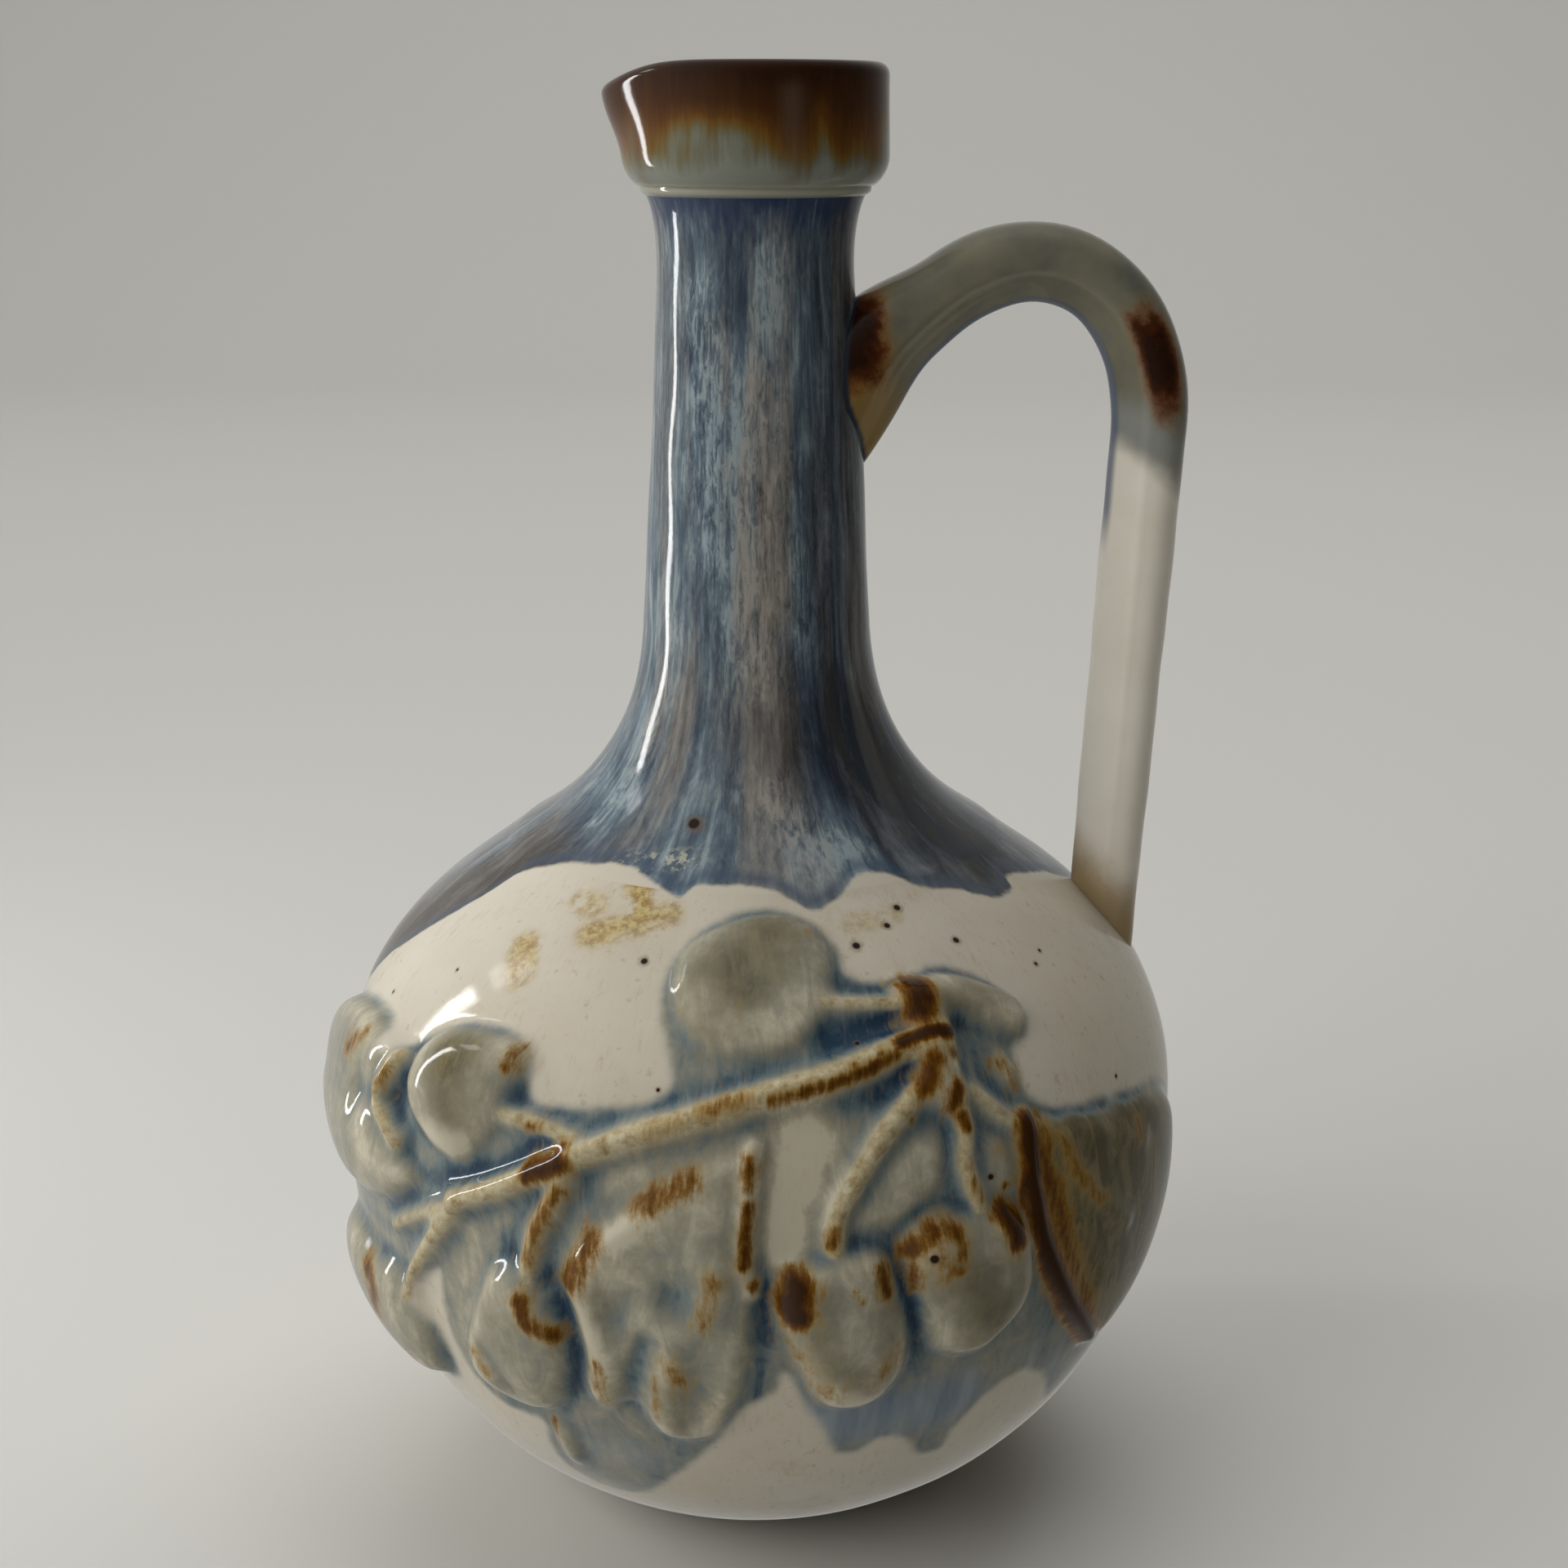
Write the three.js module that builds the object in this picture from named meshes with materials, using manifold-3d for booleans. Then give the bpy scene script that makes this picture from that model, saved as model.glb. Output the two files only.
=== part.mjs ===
// Earthenware carafe: a round-bellied jug with a slim neck, a cupped collar with a pouring lip,
// a pulled strap handle and a fruiting branch luted on the belly in relief.
// Millimetres, +Z up. The origin is the middle of the base. The lip points to -X, the handle to +X,
// and the branch is on the -Y side.

import * as THREE from 'three';
import { mergeVertices } from 'three/addons/utils/BufferGeometryUtils.js';
import Module from 'manifold-3d';

const wasm = await Module();
wasm.setup();

// Clay walls and slip seams
const WALL = 5;
const FLOOR = 6;
const SEAM_GAP = 0.3;

// Belly: a bowl up to the widest line, and a shoulder from there to the neck seam
const BASE_RADIUS = 34;
const BOWL_LEAN = 24;
const BOWL_FULLNESS = 52;
const BELLY_RADIUS = 83;
const BELLY_HEIGHT = 80;
const BELLY_UNDERCURVE = 12;
const BELLY_OVERCURVE = 35;
const SHOULDER_RADIUS = 47.5;
const SHOULDER_RISE = 54;
const SHOULDER_LEAN = 48;
const SHOULDER_CURVE = 12.5;

// Neck: a flare that sweeps up from the shoulder into a slim, slightly tapered shaft
const FLARE_START = 4;
const FLARE_SWEEP = 30;
const FLARE_RISE = 41;
const SHAFT_FOOT_RADIUS = 22;
const SHAFT_RADIUS = 18.7;
const SHAFT_LENGTH = 66;
const THROAT_RADIUS = 20.5;
const THROAT_RISE = 15;
const THROAT_EASE = 10;

// Collar: a cup on the neck with a rounded foot, a rolled rim and a pouring lip
const COLLAR_RADIUS = 24.9;
const COLLAR_HEIGHT = 24;
const COLLAR_FOOT_ROUND = 6;
const COLLAR_FOOT_TURN = 55;
const RIM_ROUND = 2.4;
const LIP_REACH = 3.6;
const LIP_DROP = 3.6;
const LIP_SPREAD = 30;

// Handle: out of the neck, over an arch and straight down to the shoulder
const HANDLE_ROOT_DROP = 34;
const HANDLE_ROOT_CLIMB = 48;
const HANDLE_ROOT_EASE = 12;
const HANDLE_ARCH_RISE = 21.8;
const HANDLE_ARCH_SPAN = 22.7;
const HANDLE_ARCH_EASE = 14;
const HANDLE_BEND_DROP = 31.8;
const HANDLE_BEND_EASE = 18;
const HANDLE_LEG_LEAN = 5.9;
const HANDLE_FOOT_INSET = 14;
const HANDLE_END_DEPTH = 12;
const HANDLE_ARCH_THICKNESS = 15.4;
const HANDLE_FOOT_THICKNESS = 13.2;
const HANDLE_ARCH_WIDTH = 18;
const HANDLE_FOOT_WIDTH = 15;
const HANDLE_ROOT_FLARE = 6;
const HANDLE_FLARE_LENGTH = 16;
const HANDLE_SQUARENESS = 2.3;

// Relief: the length of one unit of its drawing below, the thin edge that a sprig has where it meets
// the belly, and how full its dome or roll is
const RELIEF_UNIT = 1;
const SPRIG_EDGE = 1;
const DOME_FULLNESS = 2.4;
const ROLL_FULLNESS = 0.8;

// Round sprigs. Angles are degrees about +Z from +X, up is measured along the belly from its widest line.
// All but the angles are in units of the drawing.
const KNOT = { name: 'branch_knot', angle: -65, up: 33, halfWidth: 5.4, halfHeight: 11, rise: 4.6 };
const FRUITS = [
  { name: 'fruit_upper', angle: -90, up: 48.3, halfWidth: 14.6, halfHeight: 14.8, rise: 4.4 },
  { name: 'fruit_left_upper', angle: -132, up: 20.5, halfWidth: 14.4, halfHeight: 12.8, rise: 5 },
  { name: 'fruit_left_edge', angle: -159, up: 4.5, halfWidth: 25, halfHeight: 11, rise: 4.6 },
  { name: 'fruit_left_lower', angle: -122.7, up: -22, halfWidth: 12.3, halfHeight: 18.4, rise: 5 },
  { name: 'fruit_far_left', angle: -155, up: -31, halfWidth: 19, halfHeight: 12.6, rise: 4.6 },
  { name: 'fruit_middle', angle: -79.6, up: -16.5, halfWidth: 11.9, halfHeight: 16.7, rise: 5 },
  { name: 'fruit_right', angle: -61.6, up: -10.4, halfWidth: 12.6, halfHeight: 15.5, rise: 5 },
];

// Rolled sprigs: each follows its points of [angle, up] and tapers from its first width to its last
const TWIGS = [
  { name: 'branch_stub', widths: [9, 7], rise: 4.2,
    path: [[-66, 42.5], [-60, 42.5], [-55, 40], [-51, 36.5]] },
  { name: 'main_branch', widths: [6.4, 4.2], rise: 3.8,
    path: [[-64, 35], [-80, 30], [-96, 24], [-106, 19], [-119, 9.5], [-130, 2]] },
  { name: 'leaf_right_rib', widths: [3.6, 2.4], rise: 3.4,
    path: [[-54, 17], [-54, 6], [-51.5, -7], [-46, -21], [-38, -33]] },
  { name: 'leaf_centre_rib', widths: [2.8, 3.2], rise: 3.6,
    path: [[-90, 19.5], [-91, 4], [-90.4, -7]] },
  { name: 'twig_upper', widths: [3.4, 3.4], rise: 2.4,
    path: [[-79, 43.5], [-66, 42]] },
  { name: 'twig_left_upper', widths: [3.2, 3.2], rise: 2.4,
    path: [[-123, 19.5], [-118.5, 19.5], [-112.5, 18]] },
  { name: 'twig_left_lower', widths: [4.4, 4], rise: 3.2,
    path: [[-113.5, 11], [-116, 3], [-118, -5], [-118, -8]] },
  { name: 'twig_fork', widths: [3.4, 2.8], rise: 2.6,
    path: [[-128, 3], [-133, -5], [-137, -12], [-142, -22]] },
  { name: 'twig_left_edge', widths: [3, 3], rise: 2.4,
    path: [[-131, 0.5], [-138, -5.5], [-144, -10]] },
  { name: 'stem_left_edge', widths: [3, 3], rise: 2.4,
    path: [[-143.5, 23], [-146.5, 17], [-145, 13], [-140.5, 8], [-138.5, 2]] },
  { name: 'twig_middle', widths: [4.6, 4], rise: 3,
    path: [[-67.5, 27.5], [-74, 19], [-78, 12], [-80.5, 1]] },
  { name: 'twig_right', widths: [4.2, 3.4], rise: 3,
    path: [[-63.5, 24], [-63.4, 14], [-62, 4]] },
  { name: 'twig_leaf', widths: [3.6, 3.4], rise: 2.6,
    path: [[-61, 25], [-57.5, 20], [-54, 15.5]] },
];

// Flat sprigs: an outline of [across, up] points round a centre
const LEAVES = [
  { name: 'leaf_centre', angle: -102, up: -10.4, rise: 3,
    outline: [[17.5, 30], [-2.5, 20], [-13.5, 11], [-17.5, 3.5], [-14, -12], [-13, -23], [-7, -25],
      [-1.5, -30], [4, -31], [9, -28], [14, -18], [17.5, 0], [18, 14]] },
  { name: 'leaf_right', angle: -35, up: -6, rise: 2.6,
    outline: [[-27, 23], [-27, 12], [-24, -1], [-15, -15], [-3, -29], [8, -27], [19, -19], [27, -6], [29, 8],
      [24, 18], [12, 20], [-6, 22]] },
  { name: 'leaf_left_edge', angle: -158, up: 17.5, rise: 4.4,
    outline: [[3, 9.5], [-8, 8], [-17, 3], [-21, -5], [-14, -9], [2, -7], [12, -6], [18, 0], [20, 5],
      [13, 8.5]] },
  { name: 'leaf_between', angle: -71.2, up: 11.6, rise: 2.2,
    outline: [[-6, 2], [-8, -5], [-6.5, -8.5], [-1, -8], [5.5, -6.5], [8.5, -3], [8.5, 5.5], [5.5, 9],
      [0, 8.5]] },
  { name: 'leaf_small', angle: -57.6, up: 10.8, rise: 2.2,
    outline: [[-4.6, 0.5], [-3.5, -5], [1, -6.5], [4.6, -5], [4.6, 1], [2, 5.5], [-2.5, 6.5]] },
  { name: 'leaf_tip', angle: -119.5, up: -50.3, rise: 2.4,
    outline: [[-3, 0], [-2, -6.5], [1, -8], [3, -1], [2, 5], [-1.5, 8.6]] },
  { name: 'bud_right', angle: -54.4, up: 27, rise: 2.2,
    outline: [[-2.5, -2.5], [1.5, -3], [3, 0.5], [0.5, 3.4], [-2.5, 2]] },
];

// Fineness of the faceted surfaces
const TURN_STEPS = { belly: 56, neck: 36, collar: 48 };
const CURVE_STEPS = 7;
const SHAFT_STEPS = 3;
const ROUND_STEPS = 3;
const HANDLE_RINGS = 36;
const HANDLE_SIDES = 14;
const FRUIT_SIDES = 16;
const LEAF_SIDES = 30;
const TWIG_STEP = 5;
const TWIG_LEAST_STEPS = 3;
const TWIG_SIDES = 5;
const TOP_RINGS = [0.4, 0.75, 1];
const UNDER_RINGS = [1, 0.8, 0.6, 0.4, 0.2];
const SAME_POINT = 0.01;
const MERGE_DISTANCE = 1e-4;
const SEARCH_STEPS = 40;

// The inside of the belly and of the neck starts this far from the level of their seam
const SEAM_MARGIN = 1;

// Cutters run this far below and above a sprig, so that they pass right through it
const CUT_DEPTH = 3;
const CUT_HEIGHT = 12;

const GLAZES = {
  cream: { color: 0xd6c9b6, roughness: 0.14 },
  slate: { color: 0x56647f, roughness: 0.12 },
  umber: { color: 0x4a2b14, roughness: 0.12 },
  olive: { color: 0x8a8a72, roughness: 0.13 },
  sage: { color: 0x868c84, roughness: 0.13 },
  ochre: { color: 0xb08a52, roughness: 0.14 },
};

const SHOULDER_HEIGHT = BELLY_HEIGHT + SHOULDER_RISE;
const SHAFT_FOOT_HEIGHT = SHOULDER_HEIGHT + FLARE_RISE;
const SHAFT_TOP_HEIGHT = SHAFT_FOOT_HEIGHT + SHAFT_LENGTH;
const NECK_TOP_HEIGHT = SHAFT_TOP_HEIGHT + THROAT_RISE;
const RIM_HEIGHT = NECK_TOP_HEIGHT + COLLAR_HEIGHT;

const rad = THREE.MathUtils.degToRad;
const drawn = (units) => units * RELIEF_UNIT;
const flat = (x, y) => new THREE.Vector2(x, y);

// The direction of the shoulder where it meets the neck, leaning in from straight up
const shoulderWay = flat(-Math.sin(rad(SHOULDER_LEAN)), Math.cos(rad(SHOULDER_LEAN)));
const shoulderSeam = flat(SHOULDER_RADIUS, SHOULDER_HEIGHT);

function beyond(point, way, distance) {
  return point.clone().addScaledVector(way, distance);
}

function outwardNormal(tangent) {
  return flat(tangent.y, -tangent.x);
}

// Outlines of the outside as radius and height

const baseEdge = flat(BASE_RADIUS, 0);
const bowlWay = flat(Math.cos(rad(BOWL_LEAN)), Math.sin(rad(BOWL_LEAN)));
const bowlCurve = new THREE.CubicBezierCurve(
  baseEdge,
  beyond(baseEdge, bowlWay, BOWL_FULLNESS),
  flat(BELLY_RADIUS, BELLY_HEIGHT - BELLY_UNDERCURVE),
  flat(BELLY_RADIUS, BELLY_HEIGHT),
);
const shoulderCurve = new THREE.CubicBezierCurve(
  flat(BELLY_RADIUS, BELLY_HEIGHT),
  flat(BELLY_RADIUS, BELLY_HEIGHT + BELLY_OVERCURVE),
  beyond(shoulderSeam, shoulderWay, -SHOULDER_CURVE),
  shoulderSeam,
);
const shaftFoot = flat(SHAFT_FOOT_RADIUS, SHAFT_FOOT_HEIGHT);
const shaftTop = flat(SHAFT_RADIUS, SHAFT_TOP_HEIGHT);
const shaftWay = shaftTop.clone().sub(shaftFoot).normalize();
const flareCurve = new THREE.CubicBezierCurve(
  shoulderSeam,
  beyond(shoulderSeam, shoulderWay, FLARE_START),
  beyond(shaftFoot, shaftWay, -FLARE_SWEEP),
  shaftFoot,
);
const shaftCurve = new THREE.LineCurve(shaftFoot, shaftTop);
const throatCurve = new THREE.QuadraticBezierCurve(
  shaftTop,
  beyond(shaftTop, shaftWay, THROAT_EASE),
  flat(THROAT_RADIUS, NECK_TOP_HEIGHT),
);

// The belly and the foot of the neck as one line, which the relief lies on
const reliefLine = new THREE.CurvePath();
reliefLine.add(bowlCurve);
reliefLine.add(shoulderCurve);
reliefLine.add(flareCurve);
const reliefLength = reliefLine.getLength();
const bowlLength = bowlCurve.getLength();

// Points along a curve, moved out by a distance; a negative distance moves them into the clay
function offsetPoints(curve, steps, distance) {
  const points = [];
  for (let i = 0; i <= steps; i += 1) {
    const u = i / steps;
    points.push(beyond(curve.getPointAt(u), outwardNormal(curve.getTangentAt(u)), distance));
  }
  return points;
}

function joined(...runs) {
  const points = [];
  for (const run of runs) {
    for (const point of run) {
      if (points.length === 0 || points[points.length - 1].distanceTo(point) > SAME_POINT) points.push(point);
    }
  }
  return points;
}

function turned(profile, steps) {
  const geometry = new THREE.LatheGeometry(profile, steps);
  geometry.rotateX(Math.PI / 2);
  return geometry;
}

// The inside radius at the shoulder seam, measured level across the leaning wall
const seamInside = SHOULDER_RADIUS - WALL / outwardNormal(shoulderWay).x;
const neckBore = SHAFT_RADIUS - WALL;

function bellyOutside(distance) {
  return joined(
    offsetPoints(bowlCurve, CURVE_STEPS, distance),
    offsetPoints(shoulderCurve, CURVE_STEPS, distance),
  );
}

function bellyGeometry() {
  const inside = bellyOutside(-WALL)
    .filter((p) => p.y > FLOOR + WALL && p.y < SHOULDER_HEIGHT - SEAM_MARGIN);
  const floorRadius = inside[0].x - (inside[0].y - FLOOR);
  const profile = joined(
    [flat(0, 0)],
    bellyOutside(0),
    [flat(seamInside, SHOULDER_HEIGHT)],
    inside.reverse(),
    [flat(floorRadius, FLOOR), flat(0, FLOOR)],
  );
  return turned(profile, TURN_STEPS.belly);
}

function neckOutside(distance) {
  return joined(
    offsetPoints(flareCurve, CURVE_STEPS, distance),
    offsetPoints(shaftCurve, SHAFT_STEPS, distance),
    offsetPoints(throatCurve, ROUND_STEPS, distance),
  );
}

function neckGeometry() {
  const inside = joined(offsetPoints(flareCurve, CURVE_STEPS, -WALL), offsetPoints(shaftCurve, 1, -WALL))
    .filter((p) => p.y > SHOULDER_HEIGHT + SEAM_MARGIN);
  const profile = joined(
    [flat(seamInside, SHOULDER_HEIGHT)],
    neckOutside(0),
    [flat(neckBore, NECK_TOP_HEIGHT)],
    inside.reverse(),
    [flat(seamInside, SHOULDER_HEIGHT)],
  );
  return turned(profile, TURN_STEPS.neck);
}

// Points of an arc between two directions in degrees
function roundCorner(x, y, radius, from, to) {
  const arc = new THREE.EllipseCurve(x, y, radius, radius, rad(from), rad(to), to < from);
  return arc.getPoints(ROUND_STEPS);
}

function collarGeometry() {
  const bore = COLLAR_RADIUS - WALL;
  const cupFloor = NECK_TOP_HEIGHT + WALL;
  const footCentre = NECK_TOP_HEIGHT + COLLAR_FOOT_ROUND;
  const profile = joined(
    [flat(neckBore, NECK_TOP_HEIGHT), flat(THROAT_RADIUS, NECK_TOP_HEIGHT)],
    roundCorner(COLLAR_RADIUS - COLLAR_FOOT_ROUND, footCentre, COLLAR_FOOT_ROUND, -COLLAR_FOOT_TURN, 0),
    roundCorner(COLLAR_RADIUS - RIM_ROUND, RIM_HEIGHT - RIM_ROUND, RIM_ROUND, 0, 90),
    roundCorner(bore + RIM_ROUND, RIM_HEIGHT - RIM_ROUND, RIM_ROUND, 90, 180),
    [flat(bore, cupFloor + WALL), flat(neckBore, cupFloor), flat(neckBore, NECK_TOP_HEIGHT)],
  );
  const geometry = turned(profile, TURN_STEPS.collar);
  pullLip(geometry.attributes.position);
  return geometry;
}

// Draws the rim out and down into a pouring lip on the -X side
function pullLip(position) {
  const point = new THREE.Vector3();
  for (let i = 0; i < position.count; i += 1) {
    point.fromBufferAttribute(position, i);
    const away = Math.atan2(point.y, -point.x) / rad(LIP_SPREAD);
    const height = THREE.MathUtils.smoothstep(point.z, NECK_TOP_HEIGHT + WALL, RIM_HEIGHT);
    const pull = height * Math.exp(-away * away);
    const radius = Math.hypot(point.x, point.y);
    const stretch = (radius + LIP_REACH * pull) / radius;
    position.setXYZ(i, point.x * stretch, point.y * stretch, point.z - LIP_DROP * pull);
  }
}

// A closed surface over rings of equal length, with a point closing each end
function skinned(first, rings, last) {
  const vertices = [first, ...rings.flat(), last];
  const sides = rings[0].length;
  const faces = [];
  const at = (ring, side) => 1 + ring * sides + (side % sides);
  for (let side = 0; side < sides; side += 1) {
    faces.push(0, at(0, side), at(0, side + 1));
    for (let ring = 0; ring < rings.length - 1; ring += 1) {
      faces.push(at(ring, side), at(ring + 1, side), at(ring + 1, side + 1));
      faces.push(at(ring, side), at(ring + 1, side + 1), at(ring, side + 1));
    }
    faces.push(vertices.length - 1, at(rings.length - 1, side + 1), at(rings.length - 1, side));
  }
  const geometry = new THREE.BufferGeometry().setFromPoints(vertices);
  geometry.setIndex(faces);
  return geometry;
}

function solid(geometry) {
  const bare = geometry.clone();
  bare.deleteAttribute('normal');
  bare.deleteAttribute('uv');
  const merged = mergeVertices(bare, MERGE_DISTANCE);
  const faces = [];
  for (let i = 0; i < merged.index.count; i += 3) {
    const [a, b, c] = [merged.index.getX(i), merged.index.getX(i + 1), merged.index.getX(i + 2)];
    if (a !== b && b !== c && c !== a) faces.push(a, b, c);
  }
  const mesh = new wasm.Mesh({
    numProp: 3,
    vertProperties: new Float32Array(merged.attributes.position.array),
    triVerts: new Uint32Array(faces),
  });
  return new wasm.Manifold(mesh);
}

// Cuts the tools away and keeps the main body of what is left
function carved(geometry, tools) {
  let body = solid(geometry);
  for (const tool of tools) body = body.subtract(tool);
  const bodies = body.decompose().sort((a, b) => b.volume() - a.volume());
  const mesh = bodies[0].getMesh();
  const result = new THREE.BufferGeometry();
  result.setAttribute('position', new THREE.BufferAttribute(new Float32Array(mesh.vertProperties), 3));
  result.setIndex(new THREE.BufferAttribute(new Uint32Array(mesh.triVerts), 1));
  return result;
}

// The outside of the belly and neck as full solids, grown by the seam, for seating the handle
function seatTools() {
  const belly = joined([flat(0, -SEAM_GAP)], bellyOutside(SEAM_GAP), [flat(0, SHOULDER_HEIGHT)]);
  const neck = joined([flat(0, SHOULDER_HEIGHT)], neckOutside(SEAM_GAP), [flat(0, NECK_TOP_HEIGHT)]);
  return [solid(turned(belly, TURN_STEPS.belly)), solid(turned(neck, TURN_STEPS.neck))];
}

// The point of a curve where a test of its points stops holding
function pointWhere(curve, holds) {
  let low = 0;
  let high = 1;
  for (let i = 0; i < SEARCH_STEPS; i += 1) {
    const middle = (low + high) / 2;
    if (holds(curve.getPoint(middle))) low = middle;
    else high = middle;
  }
  return curve.getPoint(low);
}

function handlePath() {
  const upright = (x, z) => new THREE.Vector3(x, 0, z);
  const climb = upright(Math.cos(rad(HANDLE_ROOT_CLIMB)), Math.sin(rad(HANDLE_ROOT_CLIMB)));
  const rootHeight = NECK_TOP_HEIGHT - HANDLE_ROOT_DROP;
  const root = upright(pointWhere(shaftCurve, (p) => p.y < rootHeight).x, rootHeight);
  const footReach = BELLY_RADIUS - HANDLE_FOOT_INSET;
  const foot = upright(footReach, pointWhere(shoulderCurve, (p) => p.x > footReach).y);
  const archHeight = rootHeight + HANDLE_ARCH_RISE;
  const bend = upright(footReach + HANDLE_LEG_LEAN, archHeight - HANDLE_BEND_DROP);
  const arch = upright(bend.x - HANDLE_ARCH_SPAN, archHeight);
  const legWay = foot.clone().sub(bend).normalize();
  const start = root.clone().addScaledVector(climb, -HANDLE_END_DEPTH);
  const end = foot.clone().addScaledVector(legWay, HANDLE_END_DEPTH);
  const path = new THREE.CurvePath();
  path.add(new THREE.LineCurve3(start, root));
  path.add(new THREE.CubicBezierCurve3(
    root,
    root.clone().addScaledVector(climb, HANDLE_ROOT_EASE),
    upright(arch.x - HANDLE_ARCH_EASE, arch.z),
    arch,
  ));
  path.add(new THREE.CubicBezierCurve3(
    arch,
    upright(arch.x + HANDLE_ARCH_EASE, arch.z),
    bend.clone().addScaledVector(legWay, -HANDLE_BEND_EASE),
    bend,
  ));
  path.add(new THREE.LineCurve3(bend, end));
  return path;
}

// One rounded section of the strap: thickness lies in the plane of the handle, width across it
function strapRing(centre, tangent, thickness, width) {
  const across = new THREE.Vector3(0, 1, 0);
  const outward = new THREE.Vector3().crossVectors(across, tangent).normalize();
  const bulge = (value) => Math.sign(value) * Math.abs(value) ** (2 / HANDLE_SQUARENESS);
  const ring = [];
  for (let side = 0; side < HANDLE_SIDES; side += 1) {
    const turn = (-2 * Math.PI * side) / HANDLE_SIDES;
    ring.push(centre.clone()
      .addScaledVector(outward, (bulge(Math.cos(turn)) * thickness) / 2)
      .addScaledVector(across, (bulge(Math.sin(turn)) * width) / 2));
  }
  return ring;
}

function handleGeometry() {
  const path = handlePath();
  const length = path.getLength();
  const rings = [];
  for (let i = 0; i <= HANDLE_RINGS; i += 1) {
    const t = i / HANDLE_RINGS;
    const fromRoot = t * length - HANDLE_END_DEPTH;
    const flare = HANDLE_ROOT_FLARE * (1 - THREE.MathUtils.smoothstep(fromRoot, 0, HANDLE_FLARE_LENGTH));
    const thickness = THREE.MathUtils.lerp(HANDLE_ARCH_THICKNESS, HANDLE_FOOT_THICKNESS, t) + flare;
    const width = THREE.MathUtils.lerp(HANDLE_ARCH_WIDTH, HANDLE_FOOT_WIDTH, t) + flare / 2;
    rings.push(strapRing(path.getPoint(t), path.getTangent(t), thickness, width));
  }
  return carved(skinned(path.getPoint(0), rings, path.getPoint(1)), seatTools());
}

// A point over the belly: angle in radians, up along its outline from the widest line, lift off its surface
function overBelly(angle, up, lift) {
  const t = (bowlLength + up) / reliefLength;
  const spot = beyond(reliefLine.getPoint(t), outwardNormal(reliefLine.getTangent(t)), lift);
  return new THREE.Vector3(spot.x * Math.cos(angle), spot.x * Math.sin(angle), spot.y);
}

// The same from a spot on the belly, moved by millimetres across and up
function beside(angle, up, across, rise, lift) {
  const t = (bowlLength + up + rise) / reliefLength;
  return overBelly(angle + across / reliefLine.getPoint(t).x, up + rise, lift);
}

// A domed pad on the belly over a closed outline of [across, up] points
function pad(sprig, outline, floor, edge, top) {
  const angle = rad(sprig.angle);
  const up = drawn(sprig.up);
  const ringAt = (size, lift) => outline.map((p) => beside(angle, up, p.x * size, p.y * size, lift));
  const dome = (size) => edge + (top - edge) * Math.sqrt(1 - size ** DOME_FULLNESS);
  const rings = [
    ...TOP_RINGS.map((size) => ringAt(size, dome(size))),
    ...UNDER_RINGS.map((size) => ringAt(size, floor)),
  ];
  return skinned(overBelly(angle, up, top), rings, overBelly(angle, up, floor));
}

function fruitOutline(sprig, grow) {
  const round = new THREE.EllipseCurve(0, 0, drawn(sprig.halfWidth) + grow, drawn(sprig.halfHeight) + grow);
  return round.getPoints(FRUIT_SIDES).slice(0, FRUIT_SIDES);
}

function leafOutline(sprig, grow) {
  const corners = sprig.outline.map(([across, up]) => new THREE.Vector3(drawn(across), drawn(up), 0));
  const edge = new THREE.CatmullRomCurve3(corners, true);
  const points = [];
  for (let i = 0; i < LEAF_SIDES; i += 1) {
    const spot = edge.getPoint(i / LEAF_SIDES);
    const reach = flat(spot.x, spot.y);
    points.push(reach.setLength(reach.length() + grow));
  }
  return points;
}

// A half-round roll of clay along its path on the belly
function roll(sprig, grow, floor, top) {
  const spots = sprig.path.map(([angle, up]) => flat(rad(angle) * BELLY_RADIUS, drawn(up)));
  const path = new THREE.SplineCurve(spots);
  const steps = Math.max(TWIG_LEAST_STEPS, Math.round(path.getLength() / TWIG_STEP));
  const shifts = new Map([[0, -grow], [steps, grow]]);
  const spotAt = (u) => {
    const point = path.getPointAt(u);
    return { angle: point.x / BELLY_RADIUS, up: point.y };
  };
  const rings = [];
  for (let i = 0; i <= steps; i += 1) {
    const u = i / steps;
    const spot = spotAt(u);
    const way = path.getTangentAt(u);
    const half = drawn(THREE.MathUtils.lerp(sprig.widths[0], sprig.widths[1], u)) / 2 + grow;
    const shift = shifts.get(i) ?? 0;
    const pointAt = (side, lift) => beside(spot.angle, spot.up, way.y * side + way.x * shift,
      way.y * shift - way.x * side, lift);
    const ring = [];
    for (let j = 0; j < TWIG_SIDES; j += 1) {
      const turn = (Math.PI * j) / (TWIG_SIDES - 1);
      ring.push(pointAt(half * Math.cos(turn), floor + (top - floor) * Math.sin(turn) ** ROLL_FULLNESS));
    }
    ring.push(pointAt(0, floor));
    rings.push(ring);
  }
  const middle = (ring) => ring[(TWIG_SIDES - 1) / 2].clone().lerp(ring[TWIG_SIDES], 0.5);
  return skinned(middle(rings[0]), rings, middle(rings[steps]));
}

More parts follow.
